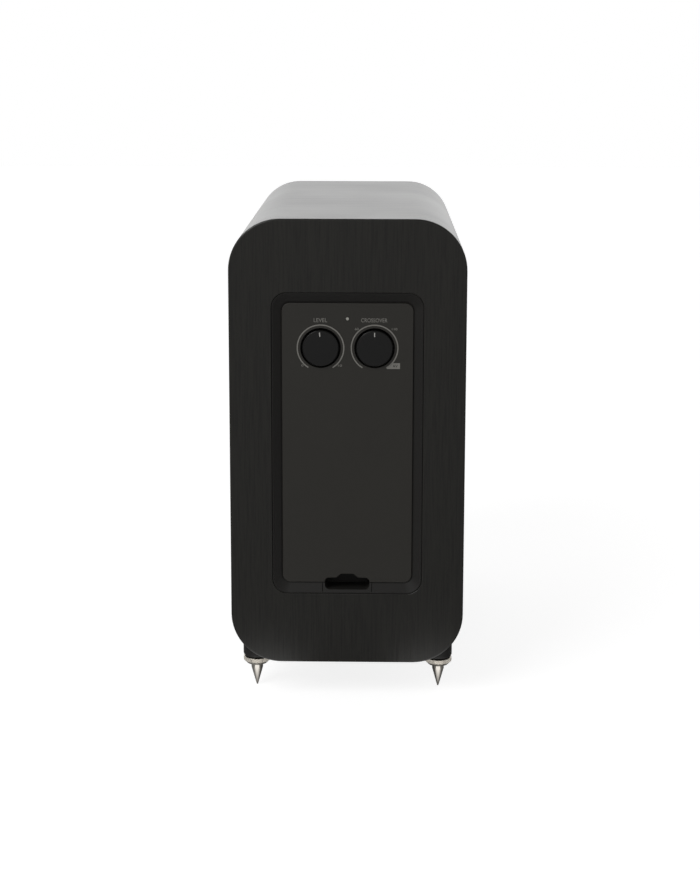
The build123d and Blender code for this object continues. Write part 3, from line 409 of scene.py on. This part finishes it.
# each number's middle, right and up from its dial's centre, and its width, in mm
for name, words, side, right, up, width in (
    ("level_lowest", "0", -1, -15.4, -15.2, 1.7),
    ("level_highest", "10", -1, 16.6, -15.2, 3.4),
    ("crossover_low", "60", 1, -15.2, 16.5, 3.2),
    ("crossover_high", "110", 1, 16.9, 16.5, 4.6),
):
    print_text(name, words, side * dial_x + right * MM, dial_z + up * MM, NUMBER_H, width * MM)

# the tag at the end of the crossover scale: a pale flag with dark letters
TAG = [(10.2, -17.9), (21.7, -17.9), (21.7, -12.9), (15.5, -12.9)]  # in mm from the dial's centre
deselect()
bpy.ops.mesh.primitive_plane_add(size=1, location=(0, 0, 0))
tag = bpy.context.object
for vertex, (right, up) in zip([tag.data.vertices[i] for i in (0, 1, 3, 2)], TAG):
    vertex.co = (dial_x + right * MM, ink_y, dial_z + up * MM)
tag_layer = tag.modifiers.new("ink", "SOLIDIFY")
tag_layer.thickness = INK_T
tag_layer.offset = 0
apply_modifiers(tag)
printed(tag, "crossover_tag")
TAG_LETTER_H, TAG_LETTERS_W = 2.4 * MM, 4.2 * MM
tag_x, tag_z = dial_x + 17.6 * MM, dial_z - 15.4 * MM
print_text("tag_letters", "AV", tag_x, tag_z, TAG_LETTER_H, TAG_LETTERS_W, dark_ink, INK_T)

# ---------------------------------------------------------------- dials
# Two black ABS knobs pushed on to flatted aluminium shafts. Their rims are ribbed for grip and
# their faces are polished smooth. The pointer is white paint wiped into a groove.

# A smooth moulded face is a deeper black than the textured cover, with a faint sheen.
smooth_black_abs = finish(
    "smooth_black_abs", ("#0b0b0a", "#0f0f0e"), (0.3, 0.4), 12, 0.8, 0.006, constants={"IOR": 1.52}
)
paint(smooth_black_abs, "level_knob", "crossover_knob")
# Turned aluminium shows rings round its axis, which runs along Y.
turned_aluminium = finish(
    "turned_aluminium", ("#b9babc", "#cfd0d2"), (0.25, 0.4), 8, 0.35, 0.02, (30, 1, 30),
    constants={"Metallic": 1.0},
)
paint(turned_aluminium, "level_shaft", "crossover_shaft")

white_paint = finish("white_wiped_paint", ("#c9c8c3", "#dddcd7"), (0.45, 0.6), 1.2, 0.4, 0.01)
POINTER_R = 11.9 * MM  # middle of the groove from the dial's centre
POINTER = Vector((0.85, 0.27, 3.7)) * MM  # width, depth and length of the paint
POINTER_DEEP = 0.17 * MM  # middle of the paint behind the knob's face
POINTER_EDGE_R = 0.1 * MM
for side, dial, turn in ((-1, "level", math.radians(-3)), (1, "crossover", 0.0)):
    middle = Vector((side * dial_x, level_low.y, dial_z)) + Vector(
        (POINTER_R * math.sin(turn), POINTER_DEEP, POINTER_R * math.cos(turn))
    )
    deselect()
    bpy.ops.mesh.primitive_cube_add(size=1, location=middle, rotation=(0, turn, 0))
    pointer = bpy.context.object
    pointer.name = f"{dial}_pointer"
    pointer.scale = POINTER
    place_is_final(pointer)
    bpy.ops.object.mode_set(mode="EDIT")
    bpy.ops.mesh.select_all(action="SELECT")
    bpy.ops.mesh.bevel(offset=POINTER_EDGE_R, segments=3)
    bpy.ops.object.mode_set(mode="OBJECT")
    paint(white_paint, pointer)
    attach(pointer, f"{dial}_dial")

# ---------------------------------------------------------------- control board and status light
# Two potentiometers and the status light sit on a small board behind the deck. The light comes
# out through a clear acrylic rod with a domed end.
bright_potentiometer = finish(
    "tinned_potentiometer_case", ("#a7a8a6", "#bdbdb9"), (0.3, 0.45), 6, 0.7, 0.01,
    constants={"Metallic": 1.0},
)
paint(bright_potentiometer, "potentiometers")
# Unlit, the frosted rod is a small pale dot.
frosted_acrylic = finish(
    "frosted_clear_acrylic", ("#c9c8bf", "#dddcd4"), (0.22, 0.32), 2, 0.4, 0.01,
    constants={"IOR": 1.49, "Transmission Weight": 0.2},
)
paint(frosted_acrylic, "led_light_pipe")
# Solder mask on glass fibre is a glossy dark green, with the weave just visible.
green_board = finish(
    "solder_masked_glass_fibre", ("#0f3a22", "#17512f"), (0.25, 0.4), 3, 0.8, 0.02,
    constants={"IOR": 1.5},
)
paint(green_board, "control_board", "main_board")

# ---------------------------------------------------------------- sockets
# A mains inlet and three line sockets hang from the roof of the connector bay. The inlet is a
# glass-filled nylon block with brass blades. The line sockets are nickel-plated brass shells
# round plastic cores.
glass_filled_nylon = finish(
    "glass_filled_black_nylon", ("#121212", "#1b1b1b"), (0.42, 0.6), 5, 0.6, 0.02,
    constants={"IOR": 1.53},
)
paint(glass_filled_nylon, "mains_inlet", "rocker_housing", "slide_switch_bodies")
bright_brass = finish(
    "bright_brass", ("#b08d4a", "#c8a661"), (0.22, 0.35), 6, 0.5, 0.01, constants={"Metallic": 1.0}
)
paint(bright_brass, "mains_pins", "foot_inserts")
paint(bright_nickel, "line_socket_shells")
# The cores are coloured for their channel, so the eye finds them in the dark bay.
socket_core = finish("red_moulded_acetal", ("#8c1c1a", "#a3221f"), (0.4, 0.5), 6, 0.6, 0.01)
paint(socket_core, "line_socket_cores")

# ---------------------------------------------------------------- switches
# A rocker for the mains and two slide switches, in smooth black plastic that shines where
# fingers rub it.
switch_plastic = finish(
    "smooth_switch_acetal", ("#161616", "#202020"), (0.25, 0.4), 6, 0.9, 0.01,
    constants={"IOR": 1.48},
)
paint(switch_plastic, "power_rocker", "mode_slider", "phase_slider")

# ---------------------------------------------------------------- amplifier
# The main board stands on hexagonal posts behind the bay, and carries a finned heatsink, a
# wound transformer and two smoothing capacitors.
# Anodised extrusion has long fine lines along the way it was pushed, which is up.
black_anodised = finish(
    "black_anodised_extrusion", ("#1d1d20", "#2a2a2d"), (0.35, 0.5), 10, 0.5, 0.03, (1, 1, 40),
    constants={"Metallic": 0.7},
)
paint(black_anodised, "heatsink")
# Polyester tape is smooth and yellow, and shows each turn's edge.
winding_tape = finish(
    "yellow_winding_tape", ("#b08a1c", "#c9a233"), (0.25, 0.4), 6, 3.0, 0.1, (1, 20, 1)
)
paint(winding_tape, "power_transformer")
shrink_sleeve = finish("black_shrink_sleeve", ("#131619", "#1d2124"), (0.25, 0.35), 12, 1.5, 0.02)
paint(shrink_sleeve, "smoothing_capacitors")

# ---------------------------------------------------------------- driver frame and magnet
# A die-pressed steel basket, powder coated black, is screwed to the doubler. Behind it a
# ferrite ring sits between a zinc-plated top plate and a yoke with a vented pole.
# Powder coat has the skin of an orange, about 1.5 mm across.
powder_coat = finish("black_powder_coat", ("#111111", "#191919"), (0.4, 0.5), 20, 1.5, 0.05)
paint(powder_coat, "driver_basket")
zinc_turned = finish(
    "zinc_plated_turned_steel", ("#a9adb2", "#bfc3c6"), (0.25, 0.38), 15, 0.5, 0.02, (1, 30, 30),
    constants={"Metallic": 1.0},
)
paint(zinc_turned, "top_plate", "yoke")
# Ferrite is a dull dark ceramic, ground flat, with small chips and pits.
ground_ferrite = finish("ground_ferrite", ("#232324", "#2f2f31"), (0.55, 0.75), 10, 1.8, 0.06)
paint(ground_ferrite, "magnet_ring")

# ---------------------------------------------------------------- voice coil
# Two layers of enamelled copper wire on a thin aluminium former.
# Each turn of wire catches its own line of light.
enamelled_copper = finish(
    "enamelled_copper_wire", ("#9c4a22", "#c06a38"), (0.2, 0.32), 3, 0.4, 0.12, (1, 40, 40),
    constants={"Metallic": 1.0},
)
paint(enamelled_copper, "voice_coil")
paint(turned_aluminium, "coil_former")

# ---------------------------------------------------------------- spider
# A disc of cotton cloth, dipped in resin and pressed hot into rings of corrugation. It centres
# the coil: glued to the former inside and to the basket's ledge outside, it flexes between.
driver_y = (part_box("cone")[0].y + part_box("cone")[1].y) / 2
driver_z = (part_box("cone")[0].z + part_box("cone")[1].z) / 2
driver_centre = Vector((0, driver_y, driver_z))


def spin_profile(name, profile, steps=192):
    """A surface turned about the driver's axis from (x, radius) points, open along its ends."""
    mesh = bpy.data.meshes.new(name)
    points = [(x, driver_y, driver_z + radius) for x, radius in profile]
    mesh.from_pydata(points, [(i, i + 1) for i in range(len(points) - 1)], [])
    piece = bpy.data.objects.new(name, mesh)
    bpy.context.scene.collection.objects.link(piece)
    deselect()
    piece.select_set(True)
    bpy.context.view_layer.objects.active = piece
    bpy.ops.object.mode_set(mode="EDIT")
    bpy.ops.mesh.select_all(action="SELECT")
    bpy.ops.mesh.spin(steps=steps, angle=2 * math.pi, center=driver_centre, axis=(1, 0, 0))
    bpy.ops.mesh.select_all(action="SELECT")
    bpy.ops.mesh.remove_doubles(threshold=0.01 * MM)
    bpy.ops.mesh.normals_make_consistent(inside=False)
    bpy.ops.object.mode_set(mode="OBJECT")
    bpy.ops.object.shade_smooth()
    return piece


def flat_radius(point):
    """How far a point of a driver piece is from the driver's axis."""
    return math.hypot(point.y - driver_y, point.z - driver_z)


def flex(piece, inner, outer):
    """Let the piece move with the cone inside the inner radius and stay put beyond the outer."""
    # the blend's own line runs across the driver; the shares by radius below take its place
    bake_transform(piece, "cabinet", "moving_cone", start=(0.1, 0, 0), end=(-0.1, 0, 0))
    weights = piece.data.attributes["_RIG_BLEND"].data
    for vertex, weight in zip(piece.data.vertices, weights):
        share = (outer - flat_radius(vertex.co)) / (outer - inner)
        share = min(max(share, 0.0), 1.0)
        weight.value = share * share * (3 - 2 * share)


spider_low, spider_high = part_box("spider")
SPIDER_IN, SPIDER_ROLL_IN, SPIDER_ROLL_OUT = 20.0 * MM, 23.0 * MM, 50.0 * MM
SPIDER_OUT = spider_high.z - driver_z
SPIDER_T = 0.5 * MM
CORRUGATION, CORRUGATIONS = 1.7 * MM, 6
spider_x = spider_high.x - SPIDER_T / 2
spider_profile = [(spider_x, SPIDER_IN)]
spider_steps = CORRUGATIONS * 10
for i in range(spider_steps + 1):
    share = i / spider_steps
    radius = SPIDER_ROLL_IN + share * (SPIDER_ROLL_OUT - SPIDER_ROLL_IN)
    spider_profile.append(
        (spider_x - CORRUGATION * math.sin(2 * math.pi * CORRUGATIONS * share), radius)
    )
spider_profile.append((spider_x, SPIDER_OUT))
spider = spin_profile("spider_corrugated", spider_profile, 128)
cloth_thickness = spider.modifiers.new("cloth", "SOLIDIFY")
cloth_thickness.thickness = SPIDER_T
cloth_thickness.offset = 0
apply_modifiers(spider)


def add_rays_map(piece, front_x):
    """A UV map in metres that lies on the piece as cloth does: flat, then down over an edge."""
    uv = piece.data.uv_layers.new(name="lay")
    for loop in piece.data.loops:
        point = piece.data.vertices[loop.vertex_index].co
        radius = max(flat_radius(point), 1e-6)
        reach = (radius + max(point.x - front_x, 0.0)) / radius
        uv.data[loop.index].uv = (
            (point.y - driver_y) * reach + 1,
            (point.z - driver_z) * reach + 1,
        )


def woven(name, hexes, spacing, depth, rough, constants):
    """Cloth whose two sets of threads cross every spacing mm, over the piece's own map.

    Each thread is a rounded ridge that dips where it passes under the next, so the cloth looks
    matt. The first colour is painted shade: the colour falls to it where the threads dip, so
    the gaps between the bright crossings are painted dark.
    """
    material, tree, shader = new_material(name, constants)
    lay = add_node(tree, "UVMap", uv_map="lay").outputs["UV"]
    wander = add_node(tree, "TexNoise", {"Vector": lay, "Scale": 1000 / (spacing * 6)})
    wander_by = add_node(
        tree, "VectorMath", {0: wander.outputs["Color"], 1: [0.35 * spacing * MM] * 3},
        operation="MULTIPLY",
    ).outputs["Vector"]
    threads = add_node(
        tree, "VectorMath", {0: lay, 1: wander_by}, operation="ADD"
    ).outputs["Vector"]
    # a wave's period is 2 pi / 20 divided by its scale
    per_metre = math.pi / 10 / (spacing * MM)
    across = add_node(
        tree, "TexWave", {"Vector": threads, "Scale": per_metre}, bands_direction="X"
    ).outputs["Fac"]
    down = add_node(
        tree, "TexWave", {"Vector": threads, "Scale": per_metre}, bands_direction="Y"
    ).outputs["Fac"]
    height = add_node(
        tree, "Math", {0: across, 1: down}, operation="MULTIPLY"
    ).outputs["Value"]
    dye = add_node(tree, "TexNoise", {"Vector": lay, "Scale": 1000 / 30}).outputs["Fac"]
    thread_colour = add_node(
        tree, "MixRGB", {"Fac": dye, "Color1": linear(hexes[1]), "Color2": linear(hexes[2])}
    ).outputs["Color"]
    # painted shade: where the threads dip, the colour falls to the first colour and darkens the gaps
    colour = add_node(
        tree, "MixRGB", {"Fac": height, "Color1": linear(hexes[0]), "Color2": thread_colour}
    ).outputs["Color"]
    dullness = add_node(
        tree, "MapRange", {"Value": height, "To Min": rough[1], "To Max": rough[0]}
    ).outputs["Result"]
    relief = add_node(tree, "Bump", {"Height": height, "Distance": depth * MM}).outputs["Normal"]
    tree.links.new(colour, shader.inputs["Base Color"])
    tree.links.new(dullness, shader.inputs["Roughness"])
    tree.links.new(relief, shader.inputs["Normal"])
    return material


add_rays_map(spider, spider_low.x)
# Resin turns the cotton honey brown and stiff, with a slight gloss on each thread.
# the first colour, dark brown, is painted shade in the gaps between the threads
resined_cotton = woven(
    "resin_dipped_cotton", ("#4a3216", "#8a6430", "#a0773c"), 1.0, 0.15, (0.45, 0.7), {"IOR": 1.5}
)
paint(resined_cotton, spider)
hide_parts("spider")
flex(spider, SPIDER_ROLL_IN, SPIDER_ROLL_OUT)

# ---------------------------------------------------------------- cone and cap
# Pressed paper pulp, dyed black. The cap over the neck is the same pulp, doped for stiffness.
# Pulp is matt and mottled, with short fibres that lie every way.
paper_pulp = finish("black_paper_pulp", ("#171717", "#222221"), (0.7, 0.88), 7, 1.4, 0.12)
paint(paper_pulp, "cone")
doped_pulp = finish("doped_black_pulp", ("#121212", "#1a1a1a"), (0.42, 0.58), 7, 1.4, 0.06)
paint(doped_pulp, "dust_cap")

# ---------------------------------------------------------------- surround
# A half roll of butyl rubber, glued to the cone's edge inside and to the basket outside. It
# seals the cone and lets it move.
RUBBER_T = 0.8 * MM
CONE_EDGE_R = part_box("cone")[1].z - driver_z
roll_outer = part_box("surround")[1].z - driver_z
LIP = 2.0 * MM  # flat edge glued to the basket
GLUE_GAP = 0.3 * MM
flange_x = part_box("driver_basket")[0].x
roll_r = (roll_outer - LIP - CONE_EDGE_R - GLUE_GAP) / 2
roll_mid = CONE_EDGE_R + GLUE_GAP + roll_r
middle_r = roll_r - RUBBER_T / 2
surround_profile = []
ROLL_STEPS = 24
for i in range(ROLL_STEPS + 1):
    angle = math.pi * i / ROLL_STEPS
    surround_profile.append(
        (flange_x - middle_r * math.sin(angle), roll_mid - middle_r * math.cos(angle))
    )
surround_profile += [
    (flange_x - RUBBER_T / 2, roll_mid + middle_r + GLUE_GAP),
    (flange_x - RUBBER_T / 2, roll_outer),
]
surround = spin_profile("surround_rubber", surround_profile)
rubber = surround.modifiers.new("rubber", "SOLIDIFY")
rubber.thickness = RUBBER_T
rubber.offset = 0
apply_modifiers(surround)
# Butyl rubber is a soft black that greys a little at grazing light, as if lightly powdered.
butyl_rubber = finish(
    "butyl_rubber", ("#0f0f0f", "#161616"), (0.5, 0.62), 18, 0.9, 0.02,
    constants={"Sheen Weight": 0.15, "Sheen Roughness": 0.5},
)
paint(butyl_rubber, surround)
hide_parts("surround")
flex(surround, CONE_EDGE_R + 2 * GLUE_GAP, roll_outer - LIP)

# ---------------------------------------------------------------- terminals and leads
# A fibre block on the basket's edge carries the two tags, and a red and a black PVC lead run
# to it from the main board.
red_fibre = finish("vulcanised_fibre", ("#5a2f22", "#6d3c2b"), (0.55, 0.7), 5, 0.8, 0.03)
paint(red_fibre, "terminal_block")
# PVC insulation is smooth with a waxy shine.
red_pvc = finish("red_pvc_insulation", ("#9a1614", "#b01d19"), (0.3, 0.42), 15, 1.0, 0.01)
black_pvc = finish("black_pvc_insulation", ("#141414", "#1c1c1c"), (0.3, 0.42), 15, 1.0, 0.01)
paint(red_pvc, "driver_lead_positive")
paint(black_pvc, "driver_lead_negative")

# ---------------------------------------------------------------- grille
# A black ABS ring covered with knitted black polyester, stretched over its face and glued down
# its side. Six magnets in the ring's back hold it in the round opening.
paint(textured_black_abs, "grille_frame")
ring_low, ring_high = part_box("grille_frame")
CLOTH_T = 0.4 * MM
GRILLE_SIDE = 9.0 * MM  # how far the cloth comes down the ring's side
ring_r = ring_high.z - driver_z
cloth_x = ring_low.x - CLOTH_T / 2
GRILLE_GLUE_T = 0.05 * MM
side_r = ring_r + GRILLE_GLUE_T + CLOTH_T / 2
FOLD_R = 1.2 * MM
FOLD_STEPS = 8
CLOTH_RINGS = 14
cloth_profile = [
    (cloth_x, (side_r - FOLD_R) * (i + 0.5) / CLOTH_RINGS) for i in range(CLOTH_RINGS)
]
for i in range(FOLD_STEPS + 1):
    angle = math.pi / 2 * i / FOLD_STEPS
    cloth_profile.append(
        (cloth_x + FOLD_R * (1 - math.cos(angle)), side_r - FOLD_R * (1 - math.sin(angle)))
    )
cloth_profile.append((cloth_x + GRILLE_SIDE, side_r))
grille_cloth = spin_profile("grille_knit", cloth_profile)
# the middle of the disc is closed
bpy.ops.object.mode_set(mode="EDIT")
bpy.ops.mesh.select_mode(type="EDGE")
bpy.ops.mesh.select_all(action="DESELECT")
mesh = bmesh.from_edit_mesh(grille_cloth.data)
for edge in mesh.edges:
    edge.select_set(
        all(flat_radius(vertex.co) < side_r / CLOTH_RINGS for vertex in edge.verts)
        and edge.is_boundary
    )
bpy.ops.mesh.fill_grid(span=48)
bpy.ops.mesh.select_all(action="SELECT")
bpy.ops.mesh.normals_make_consistent(inside=False)
bpy.ops.object.mode_set(mode="OBJECT")
bpy.ops.object.shade_smooth()
knit_thickness = grille_cloth.modifiers.new("cloth", "SOLIDIFY")
knit_thickness.thickness = CLOTH_T
knit_thickness.offset = 0
apply_modifiers(grille_cloth)
add_rays_map(grille_cloth, cloth_x + CLOTH_T)
# Knitted polyester drinks light: it is matt black with a fine grid of loops and a soft bloom
# at grazing angles. The loops are drawn 1.5 mm apart, twice their real size, so that they show.
# the first colour, near black, is painted shade in the gaps between the loops
knitted_polyester = woven(
    "black_knitted_polyester", ("#070707", "#191919", "#202020"), 1.5, 0.35, (0.7, 0.95),
    {"Sheen Weight": 0.25, "Sheen Roughness": 0.4},
)
paint(knitted_polyester, grille_cloth)
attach(grille_cloth, "grille")
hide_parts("grille_cloth")

# ---------------------------------------------------------------- feet
# Black rubber pods scribed to the cabinet's lower corners, brass inserts in the base, turned
# steel spikes and knurled lock rings. Ring and spike are nickel plated.
# Moulded rubber is matt and slightly brown, and its edges pick up no shine.
moulded_rubber = finish("moulded_black_rubber", ("#141211", "#1b1917"), (0.55, 0.7), 8, 0.8, 0.03)
paint(moulded_rubber, "foot_pods")
# The knurl's flutes are real shape, so the plating on them only needs to be bright and warm.
paint(bright_nickel, "lock_rings")
# Turning leaves fine rings round the upright spike, which draw its highlights out into bands.
turned_nickel = finish(
    "nickel_plated_turned_steel", ("#cdc8c0", "#dcd7cf"), (0.08, 0.16), 10, 0.5, 0.012, (40, 40, 1),
    constants={"Metallic": 1.0},
)
for corner in ("rear_left", "rear_right", "front_left", "front_right"):
    paint(turned_nickel, f"spike_{corner}")

# ---------------------------------------------------------------- studio
# A plain white table, a bright white wall beyond it, a grey room with a dark ceiling, and one
# large soft light high on the left. To the camera the table and the air are plain white paper.
# Glowing patches on the table, seen only in reflections, paint bright bands on the spikes.
scene = bpy.context.scene
scene.view_settings.view_transform = "Standard"

deselect()
bpy.ops.mesh.primitive_plane_add(size=12, location=(0, 0, 0))
floor = bpy.context.object
floor.name = "floor"
table, table_tree, table_shader = new_material(
    "white_table", {"Base Color": linear("#b4b4b4"), "Roughness": 0.8, "Specular IOR Level": 0.2}
)
PAPER_GLOW = 0.83  # lifts the table to white, and leaves a faint shadow under the cabinet
REFLECTION_PATCH_GLOW = 1.1  # painted reflection: a glowing patch on the table just outside each foot, seen only in glossy rays
REFLECTION_PATCH_R = 0.045
REFLECTION_PATCH_SHARP = 0.8  # of its radius, where its soft edge begins
REFLECTION_PATCH_OUT = 0.074  # from the foot to the middle of its glowing patch
REFLECTION_PATCH_STRETCH = 1.6  # each glowing patch is that much longer than wide, away from the cabinet
rays = add_node(table_tree, "LightPath").outputs
seen_glow = add_node(
    table_tree, "Math", {0: rays["Is Camera Ray"], 1: PAPER_GLOW}, operation="MULTIPLY"
).outputs["Value"]
foot_low, foot_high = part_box("spike_front_right")
foot = [abs(low + high) / 2 for low, high in zip(foot_low, foot_high)]
reflection_patch_middle = Vector(foot) + Vector((0, REFLECTION_PATCH_OUT, 0))
# the table is folded in four, so that one glowing patch serves for all four feet
folded = add_node(
    table_tree, "VectorMath", {0: add_node(table_tree, "TexCoord").outputs["Object"]},
    operation="ABSOLUTE",
).outputs["Vector"]
from_foot = add_node(
    table_tree, "VectorMath", {0: folded, 1: reflection_patch_middle}, operation="SUBTRACT"
).outputs["Vector"]
squeezed = add_node(
    table_tree, "VectorMath", {0: from_foot, 1: (1, 1 / REFLECTION_PATCH_STRETCH, 0)}, operation="MULTIPLY"
).outputs["Vector"]
away = add_node(table_tree, "VectorMath", {0: squeezed}, operation="LENGTH").outputs["Value"]
reflection_patch = add_node(
    table_tree, "MapRange", {"Value": away, "From Min": REFLECTION_PATCH_R, "From Max": REFLECTION_PATCH_SHARP * REFLECTION_PATCH_R}
).outputs["Result"]
# painted reflection: the patch glows only for glossy rays, so it shows as bright bands on the spikes
reflection_patch_in_gloss = add_node(
    table_tree, "Math", {0: reflection_patch, 1: rays["Is Glossy Ray"]}, operation="MULTIPLY"
).outputs["Value"]
glow = add_node(
    table_tree, "Math", {0: reflection_patch_in_gloss, 1: REFLECTION_PATCH_GLOW, 2: seen_glow}, operation="MULTIPLY_ADD"
).outputs["Value"]
table_shader.inputs["Emission Color"].default_value = linear("#ffffff")
table_tree.links.new(glow, table_shader.inputs["Emission Strength"])
paint(table, floor)

world = bpy.data.worlds.new("studio")
world.use_nodes = True
scene.world = world
air = world.node_tree
towards = add_node(air, "SeparateXYZ", {0: add_node(air, "TexCoord").outputs["Generated"]})
behind = add_node(
    air, "MapRange", {"Value": towards.outputs["Y"], "From Min": 0.15, "From Max": 0.75},
    interpolation_type="SMOOTHSTEP",
).outputs["Result"]
low_down = add_node(
    air, "MapRange", {"Value": towards.outputs["Z"], "From Min": 0.75, "From Max": 0.2},
    interpolation_type="SMOOTHSTEP",
).outputs["Result"]
wall = add_node(air, "Math", {0: behind, 1: low_down}, operation="MULTIPLY").outputs["Value"]
ROOM_SIDES, ROOM_CEILING = 0.42, 0.15  # how bright the room is
WALL_WHITE = (1.45, 1.45, 1.45, 1.0)
overhead = add_node(
    air, "MapRange",
    {
        "Value": towards.outputs["Z"], "From Min": 0.1, "From Max": 0.8,
        "To Min": ROOM_SIDES, "To Max": ROOM_CEILING,
    },
).outputs["Result"]
room = add_node(
    air, "MixRGB", {"Fac": wall, "Color1": overhead, "Color2": WALL_WHITE}
).outputs["Color"]
seen = add_node(air, "LightPath").outputs["Is Camera Ray"]
air_light = add_node(
    air, "MixRGB", {"Fac": seen, "Color1": room, "Color2": linear("#ffffff")}
).outputs["Color"]
air.links.new(air_light, air.nodes["Background"].inputs["Color"])

LIGHT_FROM, LIGHT_AT = Vector((-1.5, -1.7, 2.2)), Vector((0, 0, 0.25))
deselect()
bpy.ops.object.light_add(type="AREA", location=LIGHT_FROM)
key = bpy.context.object
key.name = "soft_key"
key.data.size = 1.6
key.data.energy = 30
key.rotation_mode = "QUATERNION"
key.rotation_quaternion = (LIGHT_AT - LIGHT_FROM).to_track_quat("-Z", "Y")

# The camera stands behind the subwoofer, a little above it, and looks slightly down.
camera_data = bpy.data.cameras.new("camera")
camera = bpy.data.objects.new("camera", camera_data)
scene.collection.objects.link(camera)
camera.location = (0.0251, -1.5813, 0.5716)
YAW, PITCH, ROLL = math.radians(-0.946), math.radians(-9.613), math.radians(0.111)
ahead = Vector(
    (math.sin(YAW) * math.cos(PITCH), math.cos(YAW) * math.cos(PITCH), math.sin(PITCH))
)
camera.rotation_mode = "QUATERNION"
camera.rotation_quaternion = ahead.to_track_quat("-Z", "Y") @ Quaternion((0, 0, 1), ROLL)
camera_data.lens = 69.11
camera_data.shift_y = -0.13
scene.camera = camera
